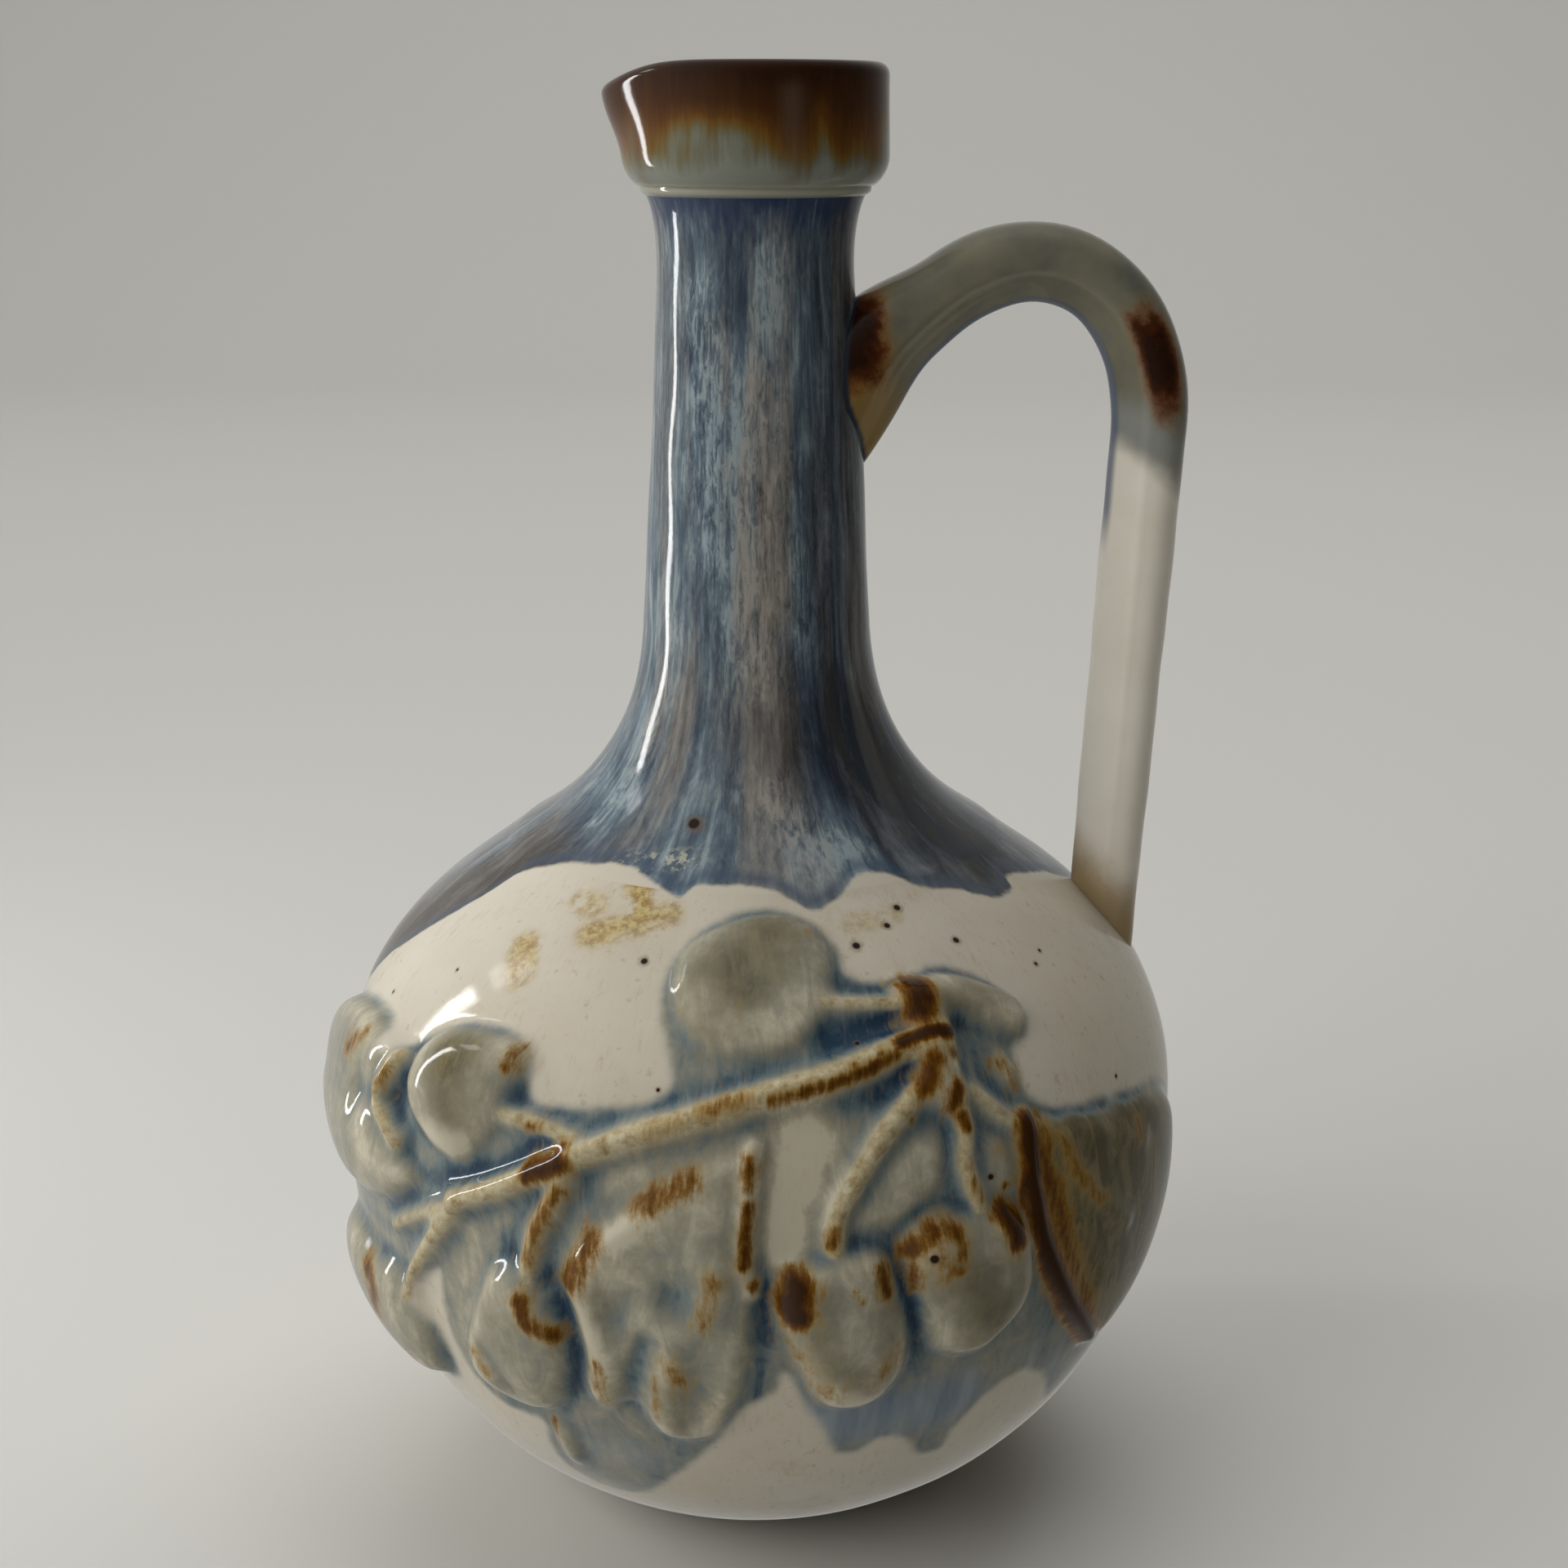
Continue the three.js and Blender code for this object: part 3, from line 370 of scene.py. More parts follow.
# Blue glaze that ran and pooled: strength, half width, path
POOLS = [
    (0.6, 3, [(-123, 25), (-120, 22.5), (-116, 21.5), (-108.5, 22.5), (-100, 26.5), (-92, 30),
              (-84, 33)]),
    (1.5, 2.3, [(-136, 3.5), (-129.5, 6.5), (-123.5, 10), (-118.5, 15), (-115.5, 17)]),
    (0.6, 2.4, [(-134, 0.5), (-140, -3), (-146, -8)]),
    (1, 2.2, [(-77, 48.5), (-72.5, 47), (-66.5, 47), (-59, 48), (-54.5, 46.5), (-52, 42.5),
              (-48.5, 36.5)]),
    (2.3, 3.4, [(-79.5, 37.5), (-74, 38.5), (-69, 39.5)]),
    (1.2, 2.4, [(-80, 23.5), (-74, 26), (-70, 29), (-66, 31.5)]),
    (0.8, 2.2, [(-58, 33), (-57.5, 26.5), (-55, 21.5), (-48.5, 18), (-37.5, 16), (-29, 13)]),
    (1.1, 1.7, [(-89, -1), (-88.5, -9.5), (-88.5, -16.5), (-89, -23.5), (-89.5, -29.5)]),
    (1, 2.1, [(-115, -12), (-113.5, -20), (-113.5, -27), (-115, -35), (-117.5, -41), (-116, -46)]),
    (0.5, 1.7, [(-102, -17), (-104.5, -20.5), (-105.5, -26.5), (-106, -33), (-104.5, -38)]),
    (1, 1.9, [(-72, -5), (-70.5, -14), (-69.5, -21), (-68, -28)]),
    (0.35, 6, [(-78, -36), (-72, -36), (-67, -33), (-62, -34), (-56, -30)]),
    (0.5, 3.4, [(-77.5, -36), (-76.5, -47)]),
    (0.6, 3.4, [(-67, -32.5), (-65.5, -40), (-63, -51)]),
    (0.7, 5, [(-50, -22), (-44.5, -33), (-40, -44)]),
    (0.5, 6, [(-38, -42), (-28, -40)]),
    (0.55, 6, [(-127, -43), (-121, -52), (-116, -62), (-108, -58), (-101, -49), (-95, -41.5)]),
    (0.45, 5, [(-112, -45), (-104, -45)]),
    (1, 2.1, [(-122, -3.5), (-120, -8.5), (-115.5, -9)]),
    (0.9, 1.2, [(-88.5, -6), (-86.5, -3), (-83, -1.5), (-79.7, 0.3), (-76.5, 1), (-73.5, -1),
                (-72, -5)]),
    (0.8, 1.4, [(-73, 2), (-70.5, 5.5), (-67, 7), (-64, 6), (-62, 5)]),
    (0.6, 2, [(-144, -17), (-150, -18)]),
    (0.2, 2.6, [(-92, 18), (-98, 19), (-106, 13), (-112, 6.5)]),
    (0.4, 1, [(-80.5, 17), (-82, 10), (-83, 3)]),
    (0.6, 1.6, [(-65, 18), (-65, 10), (-64.5, 7)]),
    (0.7, 2, [(-141, -8), (-147, -12), (-156, -13)]),
    (0.8, 1.6, [(-142.5, 20), (-143, 13), (-139, 6), (-136, 3)]),
]
# Thin glaze, down to the bare cream: strength, half width, path
CLEARINGS = [
    (1.15, 4.4, [(-86, 8), (-86.3, 3.5), (-86.8, 0)]),
    (1.15, 7.5, [(-83.5, 20), (-85, 12)]),
    (0.5, 3.6, [(-106, 12.5), (-99, 17.5), (-92, 19)]),
    (0.45, 4.4, [(-110, -3), (-106.5, 2), (-101, 5), (-96, 9)]),
    (0.4, 3, [(-110.5, -12), (-109, -24)]),
    (0.35, 2, [(-94, -28), (-96.5, -36)]),
    (0.35, 3, [(-128, -8), (-130, -20), (-132, -30)]),
    (0.35, 3, [(-80, -26), (-77, -30)]),
    (0.15, 4.5, [(-73, 14), (-71, 8)]),
    (0.35, 5, [(-98, 43), (-91, 39), (-84, 42)]),
    (0.5, 3, [(-133, 13), (-129, 12)]),
    (0.4, 3, [(-150, 8), (-146, 3)]),
    (0.4, 3, [(-133.5, -3), (-128, -4)]),
]

# Pale blue-grey runs below the fruits: strength, half width, path
RUNS = [
    (1, 9, [(-80, -37), (-71, -37), (-62, -37)]),
    (0.4, 6, [(-114, -50), (-104, -48)]),
    (0.4, 6, [(-52, -30), (-40, -42)]),
]

# Lower edge of the blue neck glaze, all the way round
DRIP_EDGE = [
    (-180, 24), (-174, 26), (-168, 35), (-163, 42), (-157.5, 50.5), (-154, 58), (-151, 64),
    (-140, 69.5), (-130.5, 71), (-126.5, 72.5), (-120, 72), (-113.5, 69.5), (-109, 67.5), (-106, 67),
    (-103, 70), (-97, 70), (-88, 69.5), (-83, 67.5), (-78, 64), (-72, 66.5), (-67, 70.5), (-64, 71.5),
    (-57.5, 70.5), (-52, 66.5), (-42.5, 63), (-35, 59), (-28, 59), (-24.5, 61.5), (-11, 57),
    (-1.5, 50.5), (8, 46), (18, 55), (30, 58), (41, 47), (50, 44), (58, 55), (72, 62), (84, 57),
    (95, 60), (108, 52), (115, 40), (121, 37), (128, 47), (140, 56), (152, 55), (162, 44), (170, 30),
    (176, 23), (180, 24),
]
# Streaks in the neck glaze: strength, half width, path
WARM_STREAKS = [
    (1, 3.4, [(-74, 196), (-72, 181), (-73, 160), (-76, 146)]),
    (0.8, 3.2, [(-112, 176), (-107, 164)]),
    (0.9, 5, [(-100, 150), (-97, 135), (-100, 122), (-102, 110)]),
    (1, 14, [(-126, 104), (-108, 108), (-94, 102)]),
    (0.7, 8, [(-110, 92), (-96, 92)]),
    (0.7, 4.5, [(-158, 195), (-158, 105)]),
    (0.9, 4.5, [(-22, 195), (-22, 105)]),
    (0.9, 6, [(-84, 165), (-82, 125)]),
    (2.2, 11, [(-174, 36), (-160, 53), (-152, 68)]),
]
NAVY_STREAKS = [
    (1, 3, [(-106, 178), (-102, 188), (-98, 196)]),
    (0.8, 3, [(-60, 152), (-55, 112)]),
    (0.7, 2.4, [(-121, 160), (-118, 140)]),
    (0.8, 2.4, [(-48, 192), (-46, 150)]),
    (0.6, 4, [(-128, 190), (-126, 170)]),
    (1.8, 11, [(-174, 36), (-160, 54), (-151, 68)]),
    (0.7, 6, [(-70, 84), (-50, 76)]),
    (0.9, 2.4, [(-92, 201), (-60, 201), (-36, 200)]),
    (1, 9, [(-36, 198), (-36, 105)]),
    (2.1, 16, [(-46, 100), (-28, 74)]),
]
PALE_STREAKS = [
    (1, 4, [(-123, 184), (-118, 170), (-114, 150), (-112, 134)]),
    (0.8, 3, [(-83, 190), (-83, 178)]),
    (0.6, 3, [(-71, 138), (-67, 118)]),
    (1, 5, [(-86, 90), (-76, 82), (-66, 76)]),
    (0.7, 3, [(-138, 120), (-140, 96), (-144, 80)]),
    (0.9, 6, [(-94, 166), (-91, 140), (-92, 112)]),
]
# Ochre stains in the cream, and flaking where they reach the blue: strength, half width, path
STAINS = [
    (1, 3, [(-119, 71), (-113, 62)]),
    (0.9, 3.4, [(-121, 56), (-113, 60), (-108, 62.5)]),
    (0.9, 3.6, [(-133, 50), (-130.5, 45)]),
    (0.7, 3, [(-128, 62.5), (-124, 62)]),
    (0.5, 2.4, [(-70.5, 60.5), (-62, 61)]),
    (1, 2.6, [(-125, 73), (-116, 74.5), (-107, 75.5)]),
]
# Specks of iron: radius, angle, up
PINHOLES = [
    (0.75, -109, 52), (0.75, -60, 62.5), (0.7, -64, 59), (0.85, -71.5, 55.5), (0.75, -52, 53),
    (0.45, -39, 43.5), (0.4, -36, 45.5), (0.4, -102.5, 28), (0.4, -157, 30.5), (0.45, -33.5, 18),
    (0.95, -69, -1.5), (0.6, -60, 9.5), (1.3, -109, 83.5), (0.5, -75.5, 36), (0.4, -143.5, 41),
]
# Lighter glaze on the collar: strength, half width, path of angle and height
COLLAR_AMBER = [
    (1, 4.6, [(-122, 267), (-110, 268), (-99, 266)]),
    (0.8, 2.4, [(-61, 272), (-60, 262)]),
    (0.7, 4, [(-20, 268), (-10, 262)]),
]
COLLAR_TAUPE = [
    (0.7, 2.2, [(-74, 274), (-73, 260)]),
    (0.9, 3, [(-150, 268), (-150, 258)]),
]

# Stands for a distance that is out of reach
FAR = 1e3


def smooth_path(points, count=8):
    """Catmull-Rom points through the given ones."""
    points = np.array(points, float)
    if len(points) < 3:
        return points
    padded = np.vstack([2 * points[0] - points[1], points, 2 * points[-1] - points[-2]])
    t = np.linspace(0, 1, count, endpoint=False)[:, None]
    runs = []
    for a, b, c, d in zip(padded, padded[1:], padded[2:], padded[3:]):
        runs.append(0.5 * (2 * b + (c - a) * t + (2 * a - 5 * b + 4 * c - d) * t ** 2
                           + (3 * b - a - 3 * c + d) * t ** 3))
    return np.vstack(runs + [points[-1:]])


def ramp(value, low, high):
    """A smooth step from 0 at the first value to 1 at the second."""
    t = np.clip((value - low) / (high - low), 0, 1)
    return t * t * (3 - 2 * t)


class Patch:
    """A stretch of the wall as a grid of angles and places up it, measured in millimetres."""

    def __init__(self, angles, ups, radius=None):
        self.angles = np.asarray(angles, float)
        self.ups = np.asarray(ups, float)
        self.radius = outline(self.ups)[0] if radius is None else np.full(len(ups), radius)
        self.shape = (len(self.ups), len(self.angles))

    def window(self, points, margin):
        """The part of the grid within a margin of some points, with its places."""
        low, high = points.min(axis=0), points.max(axis=0)
        rows = np.flatnonzero((self.ups > low[1] - margin) & (self.ups < high[1] + margin))
        spread = np.degrees(margin / self.radius.min())
        columns = np.flatnonzero((self.angles > low[0] - spread) & (self.angles < high[0] + spread))
        angle, up = np.meshgrid(self.angles[columns], self.ups[rows])
        return np.ix_(rows, columns), angle, up, self.radius[rows][:, None] * math.pi / 180

    def to_path(self, points, margin=14):
        """Distance to a path, and how far along it the nearest spot is, from 0 to 1."""
        points = smooth_path(points)
        part, angle, up, degree = self.window(points, margin)
        best = np.full(angle.shape, FAR)
        along = np.zeros(angle.shape)
        runs = list(zip(points, points[1:])) or [(points[0], points[0])]
        for i, (a, b) in enumerate(runs):
            dx, dy = (b[0] - a[0]) * degree, b[1] - a[1]
            x, y = (angle - a[0]) * degree, up - a[1]
            t = np.clip((x * dx + y * dy) / (dx * dx + dy * dy + 1e-9), 0, 1)
            distance = np.hypot(x - dx * t, y - dy * t)
            along = np.where(distance < best, (i + t) / len(runs), along)
            best = np.minimum(best, distance)
        whole, whole_along = np.full(self.shape, FAR), np.zeros(self.shape)
        whole[part] = best
        whole_along[part] = along
        return whole, whole_along

    def inside(self, points):
        """Distance into a closed edge, negative outside it."""
        ring = smooth_path(list(points) + [points[0]], 5)
        distance, _ = self.to_path(ring)
        part, angle, up, _ = self.window(ring, 0)
        within = np.zeros(angle.shape, bool)
        for (ax, ay), (bx, by) in zip(ring, np.roll(ring, -1, axis=0)):
            crosses = (ay > up) != (by > up)
            within ^= crosses & (angle < (bx - ax) * (up - ay) / (by - ay + 1e-12) + ax)
        sign = np.full(self.shape, -1.0)
        sign[part] = np.where(within, 1, -1)
        return sign * distance

    def summed(self, rows):
        """Sum of soft strokes."""
        total = np.zeros(self.shape)
        for strength, width, path in rows:
            total += strength * np.exp(-(self.to_path(path)[0] / width) ** 2)
        return total

    def strongest(self, rows, edge=4):
        """Strongest of flat-topped strokes."""
        best = np.zeros(self.shape)
        for strength, width, path in rows:
            best = np.maximum(best, strength * np.exp(-(self.to_path(path, 24)[0] / width) ** edge))
        return best


def blurred(field, cells):
    """Three box blurs over a grid."""
    size = 2 * cells + 1
    for _ in range(3):
        for axis in (0, 1):
            pad = [(0, 0), (0, 0)]
            pad[axis] = (cells + 1, cells)
            total = np.cumsum(np.pad(field, pad, mode="edge"), axis=axis)
            count = total.shape[axis]
            field = np.take(total, range(size, count), axis) - np.take(total, range(count - size), axis)
            field = field / size
    return field


# Grid over the front of the belly, from behind its left edge to behind its right one
FRONT_LEFT = -184
FRONT_RIGHT = -1.9
FRONT_LOW = -72
GRID_TURN = 0.5
GRID_RISE = 0.72
FRONT = np.arange(FRONT_LEFT, FRONT_RIGHT, GRID_TURN)
FRONT_UPS = np.arange(FRONT_LOW, SEAM_UP - GRID_RISE / 2, GRID_RISE)
front = Patch(FRONT, FRONT_UPS)

# Heights: fruits are domed, leaves are flatter, twigs are rolls, and all of them run together softly
SOFTNESS = 5
DOME_FULLNESS = 2.2
LEAF_EDGE = 1.6
ROLL_FULLNESS = 0.65
CLEAR_RISE = 0.8
TALLEST = 6.5
total = np.zeros(front.shape)
for rise, ring in FRUITS:
    depth = np.clip(front.inside(ring), 0, None)
    swell = 1 - (1 - depth / depth.max()) ** DOME_FULLNESS
    total += (rise * np.sqrt(swell)) ** SOFTNESS
for rise, ring in LEAVES:
    depth = np.clip(front.inside(ring), 0, None)
    total += (rise * (1 - np.exp(-depth / LEAF_EDGE))) ** SOFTNESS
stem = np.zeros(front.shape)
for rise, (first, last), bare, path in TWIGS:
    distance, along = front.to_path(path)
    half = (first + (last - first) * along) / 2
    total += (rise * np.clip(1 - (distance / half) ** 2, 0, 1) ** ROLL_FULLNESS) ** SOFTNESS
    stem = np.maximum(stem, bare * (1 - ramp(distance, half * 0.3, half * 1.1)))
height = total ** (1 / SOFTNESS)
raised = blurred(np.clip(height / CLEAR_RISE, 0, 1), 2)
height = np.clip(blurred(height + front.summed(SWELLS) * raised, 1), 0, TALLEST)

# Where the glaze lies, and where it lies deep: in hollows, along its own edge and where it ran
field_depth = front.inside(FIELD)
crease = blurred(height, 2) - height
hollow = blurred(height, 6) - height
cleared = front.strongest(CLEARINGS, 2)
painted = {
    "cover": ramp(field_depth, -2.4, 2.2),
    "pool": (crease * 1.2 + hollow * 0.1 + front.strongest(POOLS, 2) * 0.7 - cleared * 1.5
             + 0.15 * np.exp(-((field_depth - 1) / 2) ** 2)),
    "brown": front.strongest(BROWNS, 2) * 1.15,
    "wash": (front.strongest(WASHES, 2) - cleared * 0.7) * raised,
    "stem": stem,
    "run": front.strongest(RUNS, 2) * (1 - raised),
}


# Meshes

def make_mesh(name, vertices, faces, attributes, sharp=()):
    """A smooth mesh in metres from millimetres, with values stored on its points."""
    mesh = bpy.data.meshes.new(name)
    mesh.from_pydata((np.asarray(vertices) * MM).tolist(), [], faces)
    for label, values in attributes.items():
        values = np.asarray(values, np.float32)
        kind, slot_name = ("FLOAT_VECTOR", "vector") if values.ndim == 2 else ("FLOAT", "value")
        layer = mesh.attributes.new(label, kind, "POINT")
        layer.data.foreach_set(slot_name, values.ravel())
    mesh.polygons.foreach_set("use_smooth", np.ones(len(mesh.polygons), bool))
    if len(sharp):
        ends = np.empty(len(mesh.edges) * 2, np.int32)
        mesh.edges.foreach_get("vertices", ends)
        on = np.zeros(len(vertices), bool)
        on[list(sharp)] = True
        layer = mesh.attributes.new("sharp_edge", "BOOLEAN", "EDGE")
        layer.data.foreach_set("value", on[ends.reshape(-1, 2)].all(axis=1))
    mesh.update()
    obj = bpy.data.objects.new(name, mesh)
    bpy.context.scene.collection.objects.link(obj)
    return obj


def grid_faces(rows, columns, closed_rows=False):
    """Quads over rings of points, each ring closed, and the rows closed on themselves if asked."""
    faces = []
    for i in range(rows if closed_rows else rows - 1):
        a, b = i * columns, ((i + 1) % rows) * columns
        for j in range(columns):
            k = (j + 1) % columns
            faces.append((a + j, a + k, b + k, b + j))
    return faces


def fan(centre, ring, flip):
    """Triangles from a centre to a ring."""
    faces = []
    for a, b in zip(ring, ring[1:] + ring[:1]):
        faces.append((centre, b, a) if flip else (centre, a, b))
    return faces


def turned(radius, angles, level):
    """Points of rings round the axis."""
    return np.stack(np.broadcast_arrays(radius * np.cos(angles), radius * np.sin(angles), level), -1)


WRAP_RADIUS = 24


def wrap_of(angles, up):
    """Coordinates for streaks: round the vessel on one radius, and along its outline."""
    return turned(WRAP_RADIUS, angles, up)


drip_edge = smooth_path(DRIP_EDGE)
BELOW_DRIP = -30.0


def drip_of(angles, up):
    """Distance above the lower edge of the neck glaze."""
    degrees = (np.degrees(angles) + 180) % 360 - 180
    return up - np.interp(degrees, drip_edge[:, 0], drip_edge[:, 1])


def streaks_on(patch):
    """The painted streaks of the neck glaze on a patch."""
    return {"warm": patch.strongest(WARM_STREAKS, 2), "navy": patch.strongest(NAVY_STREAKS, 2),
            "pale": patch.strongest(PALE_STREAKS, 2), "stain": patch.strongest(STAINS)}


def waves(rows, angles, along):
    """The slight unevenness of clay worked by hand."""
    total = 0
    for size, count, rate, start in rows:
        total = total + size * np.sin(count * angles + along * rate + start)
    return total


def seam_inside():
    """Radius of the inside at the seam, measured level across the leaning wall."""
    return SEAM_RADIUS - WALL / math.cos(math.radians(SHOULDER_LEAN))


def body_piece():
    """The bulb with its relief, fine on the front and coarser behind."""
    angles = np.radians(np.concatenate([FRONT, np.arange(*BACK_TURNS)]))
    columns = len(angles)
    lower = np.linspace(BASE_UP, FRONT_UPS[0], BOWL_ROWS)[:-1]
    ups = np.concatenate([lower, FRONT_UPS, [SEAM_UP]])
    rows = slice(len(lower), len(lower) + len(FRONT_UPS))

    def spread(grid):
        full = np.zeros((len(ups), columns))
        full[rows, :len(FRONT)] = grid
        full[-1, :len(FRONT)] = grid[-1]
        return full

    r, z, nr, nz = (v[:, None] for v in outline(ups))
    eased = ramp(ups - BASE_UP, *BASE_EASE) * (1 - ramp(ups, SEAM_UP - SEAM_EASE, SEAM_UP))
    lift = spread(height) + waves(WALL_WAVES, angles, ups[:, None]) * eased[:, None]
    rounded = FOOT_CUT * np.clip(1 - (ups - BASE_UP) / FOOT_ROUND, 0, 1)[:, None] ** 2
    outer = turned(r + nr * lift - rounded, angles, z + nz * lift)

    inner_up = np.linspace(SEAM_UP - SEAM_MARGIN, BASE_UP + BOWL_INSIDE, INNER_ROWS)
    ri, zi, nri, nzi = outline(inner_up)
    wall = np.stack([ri - nri * WALL, zi - nzi * WALL], -1)
    wall = wall[wall[:, 1] > FLOOR + FLOOR_EDGE]
    wall = np.vstack([[seam_inside(), SEAM_HEIGHT], wall, [wall[-1, 0] - FLOOR_INSET, FLOOR]])
    inner = turned(wall[:, :1], angles, wall[:, 1:])

    vertices = np.concatenate([outer, inner]).reshape(-1, 3)
    last = len(vertices)
    faces = grid_faces(len(ups) + len(wall), columns)
    faces += fan(last, list(range(columns)), True)
    faces += fan(last + 1, list(range(last - columns, last)), False)
    vertices = np.vstack([vertices, [[0, 0, 0], [0, 0, FLOOR]]])

    rest = len(vertices) - outer[..., 0].size
    attributes = {}
    for label, grid in {**painted, **streaks_on(front)}.items():
        attributes[label] = np.append(spread(grid), np.zeros(rest))
    every, up_grid = np.meshgrid(angles, ups)
    attributes["wrap"] = np.vstack([wrap_of(every, up_grid).reshape(-1, 3), np.zeros((rest, 3))])
    attributes["drip"] = np.append(drip_of(every, up_grid), np.full(rest, BELOW_DRIP))
    seam_ring = range((len(ups) - 1) * columns, (len(ups) + 1) * columns)
    return make_mesh("body_glaze", vertices, faces, attributes, seam_ring)


def ring_piece(name, outer, inner, columns, shape, paint, sharp):
    """A closed ring of clay: up its outside, and down its inside."""
    angles = np.linspace(-np.pi, np.pi, columns, endpoint=False)
    profile = np.vstack([outer, inner])
    radius, level = shape(angles, np.tile(profile[:, :1], columns), np.tile(profile[:, 1:], columns))
    attributes = {}
    for label, grid in paint(angles).items():
        inside = np.repeat(grid[-1:], len(inner), axis=0)
        attributes[label] = np.concatenate([grid, inside]).reshape((-1,) + grid.shape[2:])
    attributes["level"] = level.ravel()
    ends = []
    for ring in sharp:
        start = (ring % len(profile)) * columns
        ends += range(start, start + columns)
    vertices = turned(radius, angles, level).reshape(-1, 3)
    return make_mesh(name, vertices, grid_faces(len(profile), columns, True), attributes, ends)


def neck_piece():
    """The flared tube from the shoulder to the collar."""
    ups = np.linspace(SEAM_UP, TOP_UP, NECK_ROWS)
    r, z, _, _ = outline(ups)
    inner_up = np.linspace(TOP_UP - THROAT_INSIDE, SEAM_UP + SEAM_MARGIN, NECK_INNER_ROWS)
    ri, zi, nri, nzi = outline(inner_up)
    inside = np.stack([np.maximum(ri - nri * WALL, BORE), zi - nzi * WALL], -1)
    inside = inside[(inside[:, 1] < NECK_TOP - 1) & (inside[:, 1] > SEAM_HEIGHT + 1)]
    inner = np.vstack([[BORE, NECK_TOP], inside, [seam_inside(), SEAM_HEIGHT]])
    eased = ramp(ups, SEAM_UP, SEAM_UP + SEAM_EASE) * (1 - ramp(ups, TOP_UP - TOP_EASE, TOP_UP))

    def shape(angles, radius, level):
        radius[:len(ups)] += waves(WALL_WAVES, angles, ups[:, None]) * eased[:, None]
        return radius, level

    def paint(angles):
        every, up_grid = np.meshgrid(angles, ups)
        return {"wrap": wrap_of(every, up_grid), "drip": drip_of(every, up_grid),
                **streaks_on(Patch(np.degrees(angles), ups))}

    ends = (0, len(ups) - 1, len(ups), -1)
    return ring_piece("neck_glaze", np.stack([r, z], -1), inner, RING_COLUMNS, shape, paint, ends)


def arc(x, y, radius, start, stop, count):
    """Points of an arc between two angles in degrees."""
    turn = np.radians(np.linspace(start, stop, count))
    return np.stack([x + radius * np.cos(turn), y + radius * np.sin(turn)], -1)


def collar_piece():
    """The cup on the neck, with its rim pulled out to a lip."""
    mouth = COLLAR_RADIUS - WALL
    foot = NECK_TOP + COLLAR_FOOT_RISE
    rim = RIM - RIM_ROUND
    outer = np.vstack([
        [(THROAT_RADIUS, NECK_TOP)],
        arc(THROAT_RADIUS - RIDGE_INSET, NECK_TOP + RIDGE_RISE, RIDGE_ROUND, *RIDGE_TURN, 8),
        arc(COLLAR_RADIUS - COLLAR_FOOT_ROUND, foot, COLLAR_FOOT_ROUND, -COLLAR_FOOT_TURN, 0, 9),
        bezier([(COLLAR_RADIUS, foot + 1), (COLLAR_RADIUS, RIM - 3)], 16),
        arc(COLLAR_RADIUS - RIM_ROUND, rim, RIM_ROUND, 0, 90, 8),
    ])
    inner = np.vstack([
        arc(mouth + RIM_ROUND, rim, RIM_ROUND, 92, 180, 7),
        bezier([(mouth, RIM - 4), (mouth, foot + 3)], 6),
        [(BORE, NECK_TOP + CUP_FLOOR), (BORE, NECK_TOP)],
    ])

    def shape(angles, radius, level):
        away = angles % (2 * np.pi) - np.pi
        pull = ramp(level, NECK_TOP + CUP_FLOOR, RIM) * np.exp(-(away / math.radians(LIP_SPREAD)) ** 2)
        uneven = waves(COLLAR_WAVES, angles, level) * ramp(level - NECK_TOP, *COLLAR_EASE)
        return radius + LIP_REACH * pull + uneven, level - LIP_DROP * pull

    def paint(angles):
        every, levels = np.meshgrid(angles, outer[:, 1])
        patch = Patch(np.degrees(angles), outer[:, 1], COLLAR_RADIUS)
        return {"wrap": wrap_of(every, levels), "amber": patch.strongest(COLLAR_AMBER, 2),
                "taupe": patch.strongest(COLLAR_TAUPE, 2)}

    return ring_piece("collar_glaze", outer, inner, RING_COLUMNS, shape, paint, ())


# Handle: a pulled strap from the neck over its arch to the shoulder

def held_in_wall(points, deepest):
    """The points, with those too deep in the wall moved back, and their gaps to the wall."""
    radius = np.hypot(points[:, 0], points[:, 1])
    flat = np.stack([radius, points[:, 2]], -1)
    nearest = np.argmin(((flat[:, None] - line) ** 2).sum(axis=2), axis=1)
    _, _, nr, nz = outline(line_up[nearest])
    normal = np.stack([nr, nz], -1)
    depth = ((line[nearest] - flat) * normal).sum(axis=1)
    sunk = np.where((depth > deepest)[:, None], line[nearest] - normal * deepest, flat)
    out = points.copy()
    out[:, :2] *= (sunk[:, 0] / np.maximum(radius, 1e-6))[:, None]
    out[:, 2] = sunk[:, 1]
    return out, -depth


def handle_path():
    """Middle of the strap from inside the neck to inside the shoulder, as distance out and height."""
    root, arch, bend, foot = (np.array(p) for p in (HANDLE_ROOT, HANDLE_ARCH, HANDLE_BEND, HANDLE_FOOT))
    climb = np.array([math.cos(math.radians(HANDLE_CLIMB)), math.sin(math.radians(HANDLE_CLIMB))])
    level = np.array([HANDLE_ARCH_EASE, 0])
    leg = (foot - bend) / np.linalg.norm(foot - bend)
    return np.vstack([
        bezier([root - climb * HANDLE_SUNK, root], 12)[:-1],
        bezier([root, root + climb * HANDLE_ROOT_EASE, arch - level, arch])[:-1],
        bezier([arch, arch + level, bend - leg * HANDLE_BEND_EASE, bend])[:-1],
        bezier([bend, foot + leg * HANDLE_SUNK]),
    ])


def tapered(ends, share):
    """A size that runs evenly from its first to its last value."""
    return ends[0] + (ends[1] - ends[0]) * share


def fading(from_root, extra, start, end):
    """Extra size at the root of the strap, gone further along it."""
    return extra * (1 - ramp(from_root, start, end))


